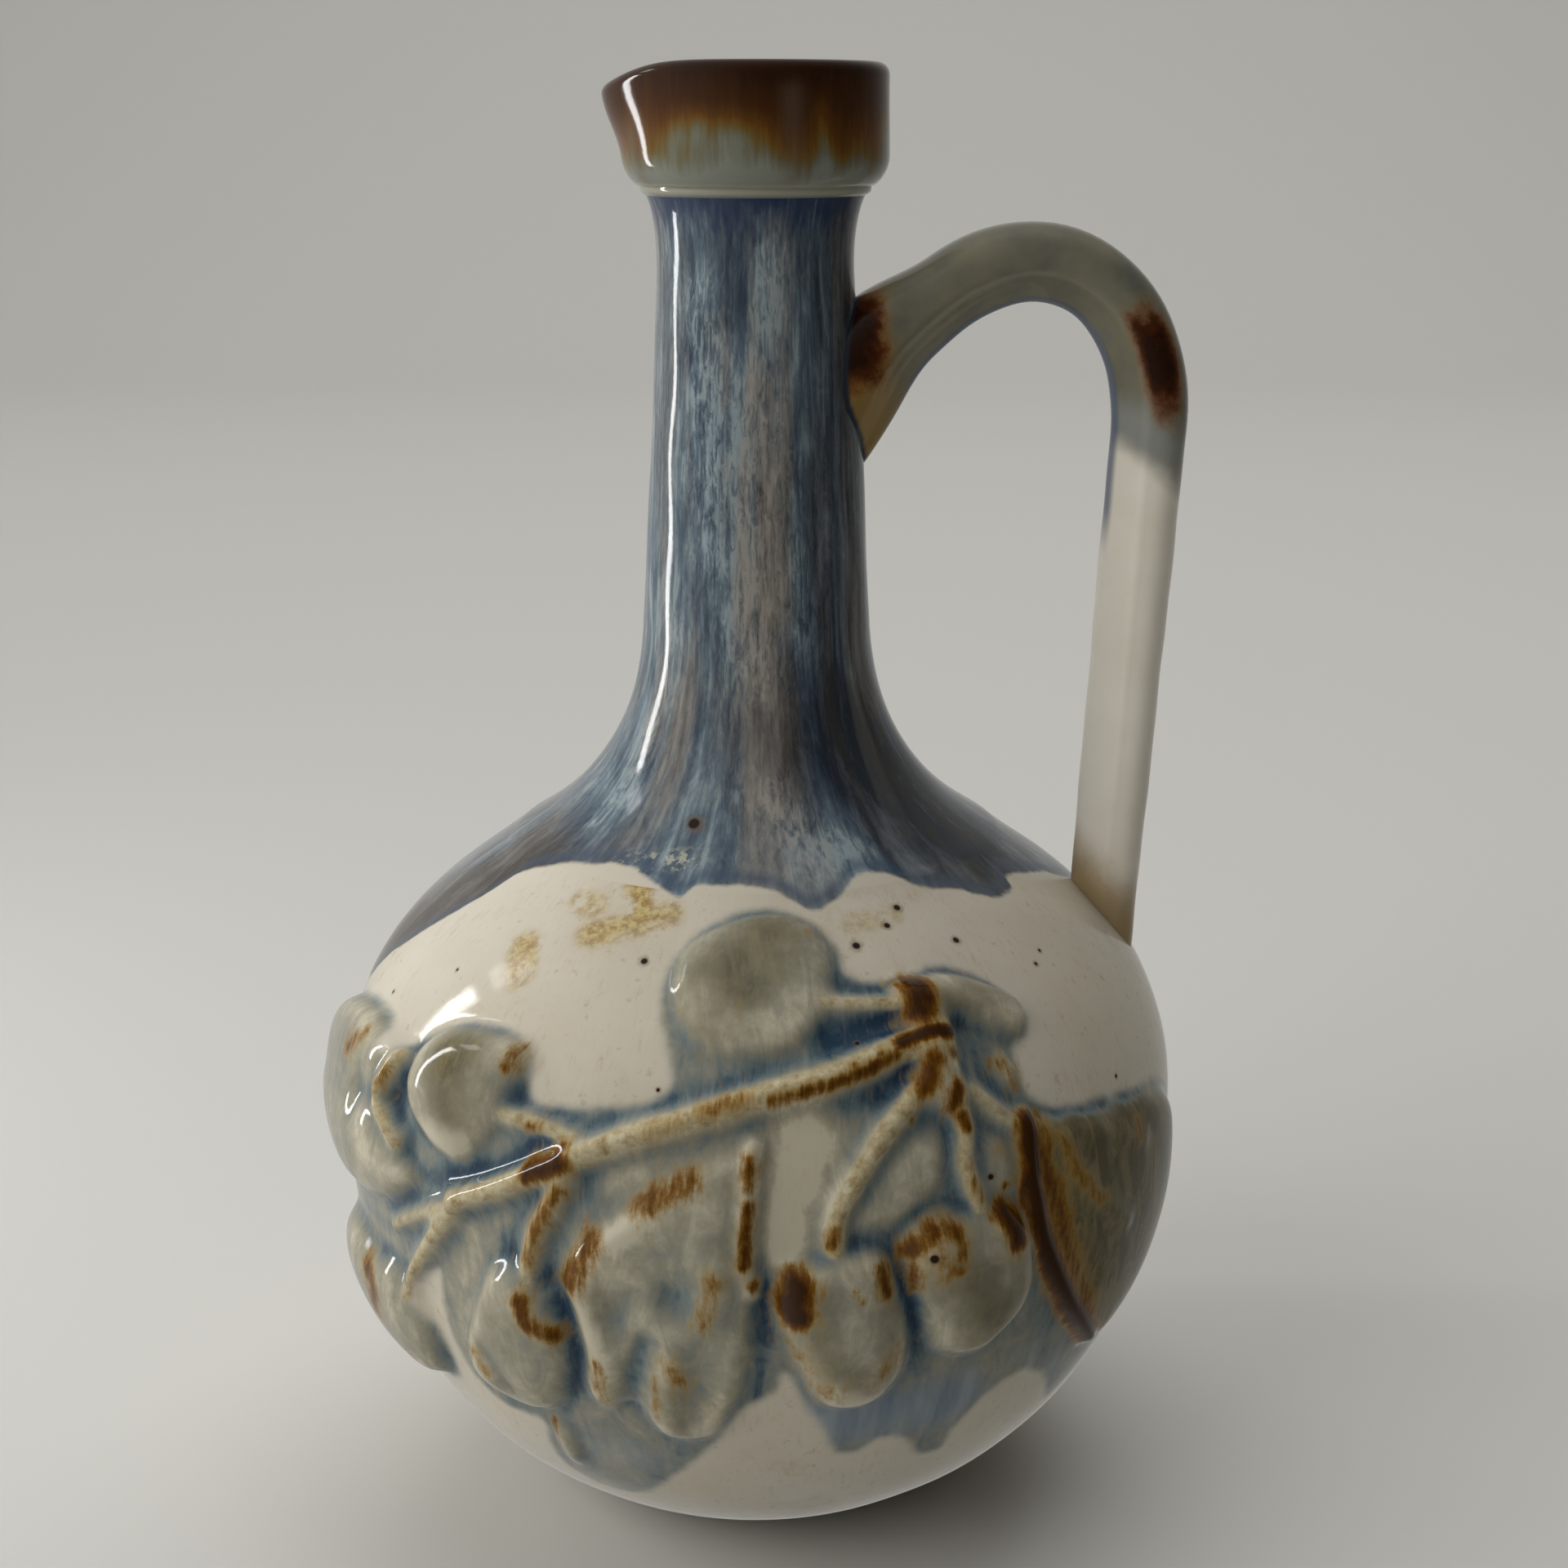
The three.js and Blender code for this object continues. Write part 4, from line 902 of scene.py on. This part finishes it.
def handle_piece():
    """The strap, thickened at its root, with both ends just inside the wall."""
    path = handle_path()
    length = run_length(path)
    rings, sides = 180, 80
    root_rings, root_length = 80, 44
    along = np.concatenate([np.linspace(0, root_length, root_rings, endpoint=False),
                            np.linspace(root_length, length[-1], rings - root_rings)])
    spine = places_on(path, length, along).T
    way = np.gradient(spine, along, axis=0)
    way /= np.linalg.norm(way, axis=1)[:, None]
    out = np.stack([-way[:, 1], way[:, 0]], -1)
    from_root = along - HANDLE_SUNK
    share = np.clip(from_root / (length[-1] - 2 * HANDLE_SUNK), 0, 1)
    half = tapered(HANDLE_THICKNESS, share) / 2
    half_in = half + fading(from_root, *ROOT_INWARD)
    half_out = half + fading(from_root, *ROOT_OUTWARD) + fading(from_root, *ROOT_CREST)
    half_wide = tapered(HANDLE_WIDTH, share) / 2 + fading(from_root, *ROOT_SIDES)
    turn = np.linspace(0, 2 * np.pi, sides, endpoint=False)
    bulge = 2 / HANDLE_SQUARENESS
    across = np.sign(np.sin(turn)) * np.abs(np.sin(turn)) ** bulge
    outward = np.sign(np.cos(turn)) * np.abs(np.cos(turn)) ** bulge
    uneven = 1 + waves(STRAP_WAVES, 0, along)[:, None]
    reach = np.where(outward > 0, half_out[:, None], half_in[:, None]) * outward * uneven
    spread, pinch = np.clip(outward, 0, 1), np.clip(-outward - PINCH_START, 0, 1)
    across = across * (1 + HANDLE_SPREAD * spread - HANDLE_PINCH * pinch)
    vertices = np.stack([spine[:, :1] + out[:, :1] * reach, across * half_wide[:, None] * uneven,
                         spine[:, 1:] + out[:, 1:] * reach], -1).reshape(-1, 3)
    caps = [[spine[0, 0], 0, spine[0, 1]], [spine[-1, 0], 0, spine[-1, 1]]]
    vertices, gap = held_in_wall(np.vstack([vertices, caps]), HANDLE_DEEPEST)
    count = rings * sides
    faces = grid_faces(rings, sides)
    faces += fan(count, list(range(sides)), True)
    faces += fan(count + 1, list(range(count - sides, count)), False)
    attributes = {"along": np.append(np.repeat(from_root, sides), [0, 0]),
                  "outer": np.append(np.tile(outward, rings), [0, 0]), "gap": gap}
    return make_mesh("handle_glaze", vertices, faces, attributes)


body = body_piece()
neck = neck_piece()
collar = collar_piece()
handle = handle_piece()

sprigs = [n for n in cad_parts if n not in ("body", "neck", "collar", "handle")]
for piece, nodes, slot in (
    (body, ["body", *sprigs], "cream_glaze"),
    (neck, ["neck"], "slate_glaze"),
    (collar, ["collar"], "umber_glaze"),
    (handle, ["handle"], "olive_glaze"),
):
    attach(piece, "root")
    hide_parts(*nodes)


# Glazes

def colour(red, green, blue):
    """A colour from its 0 to 255 values, as linear light."""
    out = []
    for value in (red, green, blue):
        value /= 255
        out.append(value / 12.92 if value <= 0.04045 else ((value + 0.055) / 1.055) ** 2.4)
    return (*out, 1)


CREAM = (203, 195, 178)
GLAZE_ROUGHNESS = 0.08
GLAZE_IOR = 1.4
BUMP_STRENGTH = 0.5
BUMP_DEPTH = 0.03 * MM
# Places of the colour sockets on Blender's mix node
MIX_COLOURS = (6, 7)
MIX_RESULT = 2


class Glaze:
    """A material under construction."""

    def __init__(self, name):
        self.material = bpy.data.materials.new(name)
        self.material.use_nodes = True
        self.tree = self.material.node_tree
        self.shader = self.tree.nodes["Principled BSDF"]
        self.shader.inputs["Roughness"].default_value = GLAZE_ROUGHNESS
        self.shader.inputs["IOR"].default_value = GLAZE_IOR
        self.place = self.node("ShaderNodeTexCoord").outputs["Object"]

    def put(self, socket, value):
        if isinstance(value, bpy.types.NodeSocket):
            self.tree.links.new(value, socket)
        else:
            socket.default_value = value

    def node(self, kind, inputs=None, **settings):
        node = self.tree.nodes.new(kind)
        for key, value in settings.items():
            setattr(node, key, value)
        for key, value in (inputs or {}).items():
            self.put(node.inputs[key], value)
        return node

    def attribute(self, name, vector=False):
        node = self.node("ShaderNodeAttribute", attribute_name=name)
        return node.outputs["Vector" if vector else "Fac"]

    def math(self, operation, a, b):
        return self.node("ShaderNodeMath", {0: a, 1: b}, operation=operation).outputs[0]

    def times(self, a, b):
        return self.math("MULTIPLY", a, b)

    def plus(self, value, noise, amount):
        """A value moved by a noise that is centred on one half."""
        return self.math("ADD", value, self.times(self.math("SUBTRACT", noise, 0.5), amount))

    def noise(self, vector, scale, detail, roughness, distortion=0.0):
        node = self.node("ShaderNodeTexNoise", {"Vector": vector, "Scale": scale, "Detail": detail,
                                                "Roughness": roughness, "Distortion": distortion})
        return node.outputs["Fac"]

    def streaks(self, squeeze, scale, detail, roughness, distortion=0.0):
        """Noise round the vessel, drawn out along its outline."""
        wrap = self.node("ShaderNodeVectorMath", {0: self.attribute("wrap", True), 1: (1, 1, squeeze)},
                         operation="MULTIPLY")
        return self.noise(wrap.outputs[0], scale, detail, roughness, distortion)

    def step(self, value, low, high):
        """A smooth step from 0 at the first value to 1 at the second."""
        node = self.node("ShaderNodeMapRange", {"Value": value, "From Min": low, "From Max": high},
                         interpolation_type="SMOOTHSTEP")
        return node.outputs["Result"]

    def between(self, value, low, high, soft):
        """1 between two values, with soft ends."""
        rise = self.step(value, low - soft, low + soft)
        return self.times(rise, self.step(value, high + soft, high - soft))

    def shades(self, value, stops):
        node = self.node("ShaderNodeValToRGB", {"Fac": value})
        elements = node.color_ramp.elements
        while len(elements) < len(stops):
            elements.new(0.5)
        for element, (place, shade) in zip(elements, stops):
            element.position = place
            element.color = colour(*shade)
        return node.outputs["Color"]

    def mix(self, share, a, b):
        """The first shade turning into the second, each a socket or 0 to 255 values."""
        node = self.node("ShaderNodeMix", {"Factor": share}, data_type="RGBA")
        for place, shade in zip(MIX_COLOURS, (a, b)):
            self.put(node.inputs[place], colour(*shade) if isinstance(shade, tuple) else shade)
        return node.outputs[MIX_RESULT]

    def tint(self, shade, share, strength, tone):
        """A shade with a colour laid over it, as strong as its share at the most."""
        return self.mix(self.times(share, strength), shade, tone)

    def finish(self, shade, bumps):
        self.put(self.shader.inputs["Base Color"], shade)
        bump = self.node("ShaderNodeBump", {"Strength": BUMP_STRENGTH, "Distance": BUMP_DEPTH,
                                            "Height": bumps})
        self.put(self.shader.inputs["Normal"], bump.outputs["Normal"])
        return self.material


def slate_shade(g):
    """The streaked blue and grey of the neck."""
    fine = g.streaks(0.06, 0.8, 5, 0.6, 0.3)
    brushed = g.streaks(0.26, 0.8, 6, 0.72, 1.2)
    broad = g.streaks(0.06, 0.15, 3, 0.5, 0.3)
    blots = g.streaks(0.25, 0.2, 4, 0.6, 1.0)
    pale = g.attribute("pale")
    flecks = g.times(g.math("SUBTRACT", brushed, 0.36), g.times(pale, 0.7))
    tone = g.plus(g.plus(g.plus(0.57, fine, 0.45), brushed, 0.25), blots, 0.5)
    tone = g.math("ADD", tone, flecks)
    tone = g.math("SUBTRACT", tone, g.times(g.attribute("navy"), 0.15))
    cool = g.shades(tone, [(0.3, (40, 48, 58)), (0.42, (60, 71, 84)), (0.5, (76, 89, 101)),
                           (0.58, (98, 113, 123)), (0.7, (142, 157, 162))])
    warm = g.shades(tone, [(0.3, (66, 61, 56)), (0.42, (90, 86, 82)), (0.52, (110, 107, 103)),
                           (0.64, (136, 131, 124)), (0.75, (158, 151, 142))])
    share = g.plus(g.math("ADD", broad, g.times(g.attribute("warm"), 0.2)), brushed, 0.5)
    shade = g.mix(g.step(share, 0.42, 0.82), cool, warm)
    flake = g.times(g.attribute("stain"), g.step(g.noise(g.place, 420, 5, 0.75), 0.5, 0.58))
    return g.tint(shade, flake, 0.75, (186, 186, 168))


def slate_edge(g):
    """Distance above the ragged lower edge of the neck glaze, and that glaze with its darker rim."""
    drip = g.plus(g.attribute("drip"), g.noise(g.place, 200, 5, 0.6), 2.4)
    rim = g.between(drip, 0.5, 3.5, 1.5)
    return drip, g.tint(slate_shade(g), rim, 0.6, (62, 78, 98))


def pinholes(g, shade):
    """Dark specks of iron at set places, each in an amber halo."""
    ragged = g.noise(g.place, 500, 3, 0.6)
    for size, angle, up in PINHOLES:
        r, z, nr, nz = (float(v) for v in outline(np.array(float(up))))
        row, column = np.argmin(np.abs(FRONT_UPS - up)), np.argmin(np.abs(FRONT - angle))
        lift = height[row, column] if up < SEAM_UP else 0
        out = r + nr * lift
        turn = math.radians(angle)
        spot = [v * MM for v in (out * math.cos(turn), out * math.sin(turn), z + nz * lift)]
        away = g.node("ShaderNodeVectorMath", {0: g.place, 1: spot}, operation="DISTANCE")
        gap = away.outputs["Value"]
        halo = g.step(g.plus(gap, ragged, size * 2.4 * MM), size * 2.2 * MM, size * 0.6 * MM)
        shade = g.tint(shade, halo, 0.5, (112, 82, 46))
        shade = g.mix(g.step(gap, size * 1.1 * MM, size * 0.6 * MM), shade, (40, 25, 14))
    return shade


def body_material():
    """Cream with stains, grey-green over the relief, bare stems, brown crests and the blue drip."""
    g = Glaze("cream_glaze")
    cloud = g.noise(g.place, 22, 4, 0.6)
    soft = g.noise(g.place, 70, 4, 0.6)
    ragged = g.noise(g.place, 200, 5, 0.6)
    mottle = g.noise(g.place, 420, 5, 0.7)
    speck = g.noise(g.place, 520, 2, 0.5)

    cream = g.shades(cloud, [(0.3, (196, 187, 167)), (0.5, CREAM), (0.7, (208, 202, 187))])
    cream = g.tint(cream, g.step(speck, 0.64, 0.76), 0.3, (140, 120, 96))
    smudge = g.step(g.noise(g.place, 48, 6, 0.75), 0.54, 0.74)
    cream = g.tint(cream, smudge, 0.4, (164, 146, 116))
    stain = g.times(g.attribute("stain"), g.step(ragged, 0.32, 0.5))
    bubbles = g.step(g.noise(g.place, 600, 4, 0.7), 0.38, 0.62)
    ochre = g.mix(bubbles, (150, 118, 58), (194, 176, 122))
    cream = g.tint(cream, stain, 0.95, ochre)

    flow = g.streaks(0.12, 0.7, 5, 0.65, 1.2)
    depth = g.plus(g.plus(g.plus(g.attribute("pool"), soft, 1.3), flow, 2.2), mottle, 1.0)
    depth = g.math("ADD", g.times(depth, 0.36), 0.37)
    glaze = g.shades(depth, [(0.02, (194, 187, 166)), (0.16, (172, 166, 146)), (0.32, (150, 147, 130)),
                             (0.48, (130, 132, 123)), (0.64, (106, 118, 119)), (0.8, (74, 92, 102)),
                             (1, (40, 62, 82))])
    tinted = g.times(g.plus(g.attribute("wash"), soft, 0.8), g.step(depth, 0.75, 0.4))
    olive = g.mix(g.step(flow, 0.4, 0.6), (66, 58, 30), (108, 97, 62))
    glaze = g.tint(glaze, g.step(tinted, 0.1, 1), 0.85, olive)
    drawn = g.streaks(0.05, 0.6, 3, 0.5)
    run = g.plus(g.attribute("run"), drawn, 0.8)
    runny = g.mix(g.step(drawn, 0.34, 0.68), (106, 124, 146), (150, 161, 168))
    glaze = g.tint(glaze, g.step(run, 0.1, 1), 0.8, runny)
    covered = g.plus(g.attribute("cover"), ragged, 0.6)
    shade = g.mix(g.step(covered, 0.05, 0.9), cream, glaze)

    stems = g.shades(mottle, [(0.34, (134, 108, 62)), (0.47, (168, 152, 112)), (0.62, (192, 181, 150))])
    bare = g.step(g.plus(g.attribute("stem"), ragged, 0.7), 0.15, 0.85)
    shade = g.tint(shade, bare, 0.85, stems)

    hair = g.streaks(0.08, 3, 4, 0.65)
    burnt = g.plus(g.plus(g.plus(g.attribute("brown"), mottle, 0.7), hair, 1.4), soft, 0.6)
    brown = g.shades(g.times(burnt, 0.55), [(0.1, (172, 148, 96)), (0.26, (156, 124, 58)),
                                            (0.42, (124, 86, 22)), (0.6, (88, 52, 4)),
                                            (0.85, (52, 27, 2))])
    shade = g.mix(g.step(burnt, 0, 0.95), shade, brown)

    drip, slate = slate_edge(g)
    shade = g.mix(g.step(drip, -0.9, 0.5), shade, slate)
    return g.finish(pinholes(g, shade), g.math("ADD", mottle, g.times(soft, 3.0)))


def neck_material():
    """The slate glaze, cream below its edge and dark blue under the collar."""
    g = Glaze("slate_glaze")
    ragged = g.streaks(0.3, 0.5, 4, 0.6)
    drip, slate = slate_edge(g)
    shade = g.mix(g.step(drip, 0.5, -0.9), slate, CREAM)
    top = g.step(g.plus(g.attribute("level"), ragged, 18.0), NECK_TOP - 9, NECK_TOP)
    shade = g.tint(shade, top, 0.85, (36, 50, 80))
    return g.finish(pinholes(g, shade), g.noise(g.place, 420, 4, 0.6))


def collar_material():
    """Umber at the rim, amber where it thins and grey-green at the foot."""
    g = Glaze("umber_glaze")
    level = g.attribute("level")
    fine = g.streaks(0.1, 1.1, 5, 0.62, 0.3)
    broad = g.streaks(0.3, 0.14, 3, 0.5)
    reach = g.plus(g.plus(level, broad, 14.0), fine, 7.0)
    reach = g.math("SUBTRACT", reach, g.times(g.attribute("amber"), 8.0))
    reach = g.math("SUBTRACT", reach, g.times(g.step(level, NECK_TOP + 9, NECK_TOP + 2), 4.0))
    share = g.math("DIVIDE", g.math("SUBTRACT", reach, NECK_TOP), RIM - NECK_TOP)
    shade = g.shades(share, [(0, (126, 129, 118)), (0.12, (110, 109, 92)), (0.22, (106, 90, 52)),
                             (0.3, (106, 75, 28)), (0.42, (90, 55, 13)), (0.62, (66, 36, 7)),
                             (0.95, (42, 21, 5))])
    shade = g.tint(shade, g.attribute("taupe"), 0.6, (100, 84, 68))
    ridge = g.between(level, NECK_TOP + 0.5, NECK_TOP + 2.2, 0.5)
    shade = g.tint(shade, ridge, 0.8, (156, 155, 138))
    return g.finish(shade, g.noise(g.place, 420, 4, 0.6))


# Zones of the handle's glaze and of its painted highlight lines: millimetres along it from the neck,
# and heights of its root in metres
ARCH_HIGHLIGHT = (12, 60)
BROWN_BEND = (61, 80)
GREY_BAND = (81, 89)
CREAM_START = (86, 93)
INNER_STREAK = (4, 104)
ROOT_AMBER = (0.246, 0.226)
ROOT_BROWN = (0.221, 0.239)
NECK_SEAM = (0.19, 0.2)


def handle_material():
    """Olive over the arch with painted highlight lines, brown at the bend and the root, and cream down
    the leg, painted lighter than the body's cream.
    """
    g = Glaze("olive_glaze")
    along, outer, gap = (g.attribute(name) for name in ("along", "outer", "gap"))
    z = g.node("ShaderNodeSeparateXYZ", {0: g.place}).outputs["Z"]
    ragged = g.noise(g.place, 120, 5, 0.65)
    cloud = g.noise(g.place, 45, 4, 0.6)
    mottle = g.noise(g.place, 300, 5, 0.7)
    spot = g.plus(along, ragged, 10.0)
    olive = g.shades(cloud, [(0.3, (92, 94, 86)), (0.46, (114, 112, 97)), (0.58, (126, 121, 102)),
                             (0.72, (110, 114, 108))])
    # Two pale lines along the arch are a painted highlight of the strap's ridge
    highlight_band = g.plus(g.times(outer, 3.0), g.noise(g.place, 60, 3, 0.5), 0.8)
    pale = g.times(g.between(highlight_band, -0.9, -0.6, 0.25), g.between(along, *ARCH_HIGHLIGHT, 10))
    olive = g.tint(olive, pale, 0.4, (158, 152, 132))
    # The leg's cream is a lighter copy of the body's cream: painted light on the leg
    cream = g.shades(cloud, [(0.3, (220, 212, 197)), (0.7, (230, 224, 211))])
    drift = g.plus(along, g.noise(g.place, 55, 3, 0.5), 9.0)
    lower = g.plus(g.math("SUBTRACT", drift, g.times(outer, 4.5)), ragged, 3.0)
    shade = g.mix(g.step(lower, *CREAM_START), olive, cream)
    shade = g.tint(shade, g.between(lower, *GREY_BAND, 3.5), 0.7, (146, 149, 145))
    streak = g.times(g.step(outer, -0.78, -0.95), g.between(along, *INNER_STREAK, 6))
    shade = g.tint(shade, streak, 0.85, (78, 92, 114))
    edge = g.times(g.step(outer, 0.75, 1.0), g.step(along, 92, 80))
    shade = g.tint(shade, edge, 0.5, (62, 60, 40))
    near = g.step(g.plus(gap, ragged, 5.0), 12, 2)
    amber = g.times(near, g.step(z, *ROOT_AMBER))
    shade = g.tint(shade, amber, 0.8, (142, 112, 50))
    root = g.times(g.step(g.plus(gap, ragged, 9.0), 11, 1.5), g.between(z, *ROOT_BROWN, 0.006))
    bend = g.times(g.between(spot, *BROWN_BEND, 8), g.between(outer, -0.2, 0.75, 0.3))
    for zone in (bend, root):
        burnt = g.plus(zone, mottle, 0.7)
        brown = g.shades(burnt, [(0.2, (146, 112, 48)), (0.45, (120, 68, 12)), (0.7, (74, 34, 4)),
                                 (0.95, (38, 15, 3))])
        shade = g.mix(g.step(burnt, 0.1, 0.8), shade, brown)
    seam = g.step(g.plus(gap, ragged, 0.8), 1.1, 0.4)
    shade = g.mix(g.times(seam, g.step(z, *NECK_SEAM)), shade, (40, 48, 60))
    return g.finish(shade, mottle)


for piece, material in ((body, body_material()), (neck, neck_material()), (collar, collar_material()),
                        (handle, handle_material())):
    piece.data.materials.append(material)


# Studio: a pale floor, a tall narrow lamp on the left and soft fill

def backdrop():
    """A pale floor that sweeps up into a wall behind the object."""
    half_width, near, far, sweep, tall = 4, -4, 2.2, 1, 4
    turn = np.linspace(-math.pi / 2, 0, 24)
    profile = [(near, 0.0)]
    profile += [(far + sweep * math.cos(t), sweep + sweep * math.sin(t)) for t in turn]
    profile.append((far + sweep, tall))
    points = []
    for y, z in profile:
        points += [(-half_width, y, z), (half_width, y, z)]
    faces = [(2 * i, 2 * i + 1, 2 * i + 3, 2 * i + 2) for i in range(len(profile) - 1)]
    mesh = bpy.data.meshes.new("floor")
    mesh.from_pydata(points, [], faces)
    mesh.polygons.foreach_set("use_smooth", np.ones(len(faces), bool))
    paint = bpy.data.materials.new("floor_paint")
    paint.use_nodes = True
    shader = paint.node_tree.nodes["Principled BSDF"]
    shader.inputs["Base Color"].default_value = colour(202, 201, 197)
    shader.inputs["Roughness"].default_value = 0.7
    mesh.materials.append(paint)
    floor = bpy.data.objects.new("floor", mesh)
    bpy.context.scene.collection.objects.link(floor)
    floor.visible_glossy = False


def room_light():
    """An even glow, dimmer on the viewer's side of the room and on the right."""
    bright_side = (-0.8, 0.6, 0)
    dim, bright = 0.06, 0.48
    world = bpy.data.worlds.new("room")
    world.use_nodes = True
    tree = world.node_tree
    way = tree.nodes.new("ShaderNodeTexCoord")
    side = tree.nodes.new("ShaderNodeVectorMath")
    side.operation = "DOT_PRODUCT"
    side.inputs[1].default_value = bright_side
    fade = tree.nodes.new("ShaderNodeMapRange")
    fade.interpolation_type = "SMOOTHSTEP"
    fade.inputs["From Min"].default_value = -1
    fade.inputs["To Min"].default_value = dim
    fade.inputs["To Max"].default_value = bright
    tree.links.new(way.outputs["Generated"], side.inputs[0])
    tree.links.new(side.outputs["Value"], fade.inputs["Value"])
    tree.links.new(fade.outputs["Result"], tree.nodes["Background"].inputs["Strength"])
    tree.nodes["Background"].inputs["Color"].default_value = (1, 0.98, 0.93, 1)
    bpy.context.scene.world = world


def area_light(name, place, target, width, tall, watts, mirrored):
    """A rectangular lamp that faces a target, and that the glaze mirrors if asked."""
    light = bpy.data.lights.new(name, "AREA")
    light.shape = "RECTANGLE"
    light.size = width
    light.size_y = tall
    light.energy = watts
    lamp = bpy.data.objects.new(name, light)
    bpy.context.scene.collection.objects.link(lamp)
    lamp.location = place
    way = np.array(target, float) - np.array(place, float)
    tilt = math.atan2(math.hypot(way[0], way[1]), -way[2])
    lamp.rotation_euler = (tilt, 0, math.atan2(-way[0], way[1]))
    lamp.visible_glossy = mirrored


backdrop()
room_light()
area_light("tall_left", (-0.59, 0.13, 0.25), (0, 0, 0.25), 0.06, 0.42, watts=1.2, mirrored=True)
area_light("small_left", (-0.67, 0.18, 0.68), (0, 0, 0.1), 0.12, 0.12, watts=0.16, mirrored=True)
area_light("soft_left", (-2.2, -1.4, 1.5), (0, 0, 0.12), 2.4, 2.4, watts=41, mirrored=False)
area_light("overhead", (0.3, 1.2, 3), (0.2, 1, 0), 3, 3, watts=56, mirrored=False)

# Camera at the photograph's angle
CAMERA_PLACE = (0.0053, -0.4855, 0.2693)
CAMERA_DIP = 14.67
CAMERA_LENS = 58.1
camera_data = bpy.data.cameras.new("camera")
camera_data.lens = CAMERA_LENS
camera_data.sensor_width = 36
camera_data.clip_start = 0.01
camera = bpy.data.objects.new("camera", camera_data)
camera.location = CAMERA_PLACE
camera.rotation_euler = (math.radians(90 - CAMERA_DIP), 0, 0)
bpy.context.scene.collection.objects.link(camera)
bpy.context.scene.camera = camera
bpy.context.scene.view_settings.view_transform = "Standard"
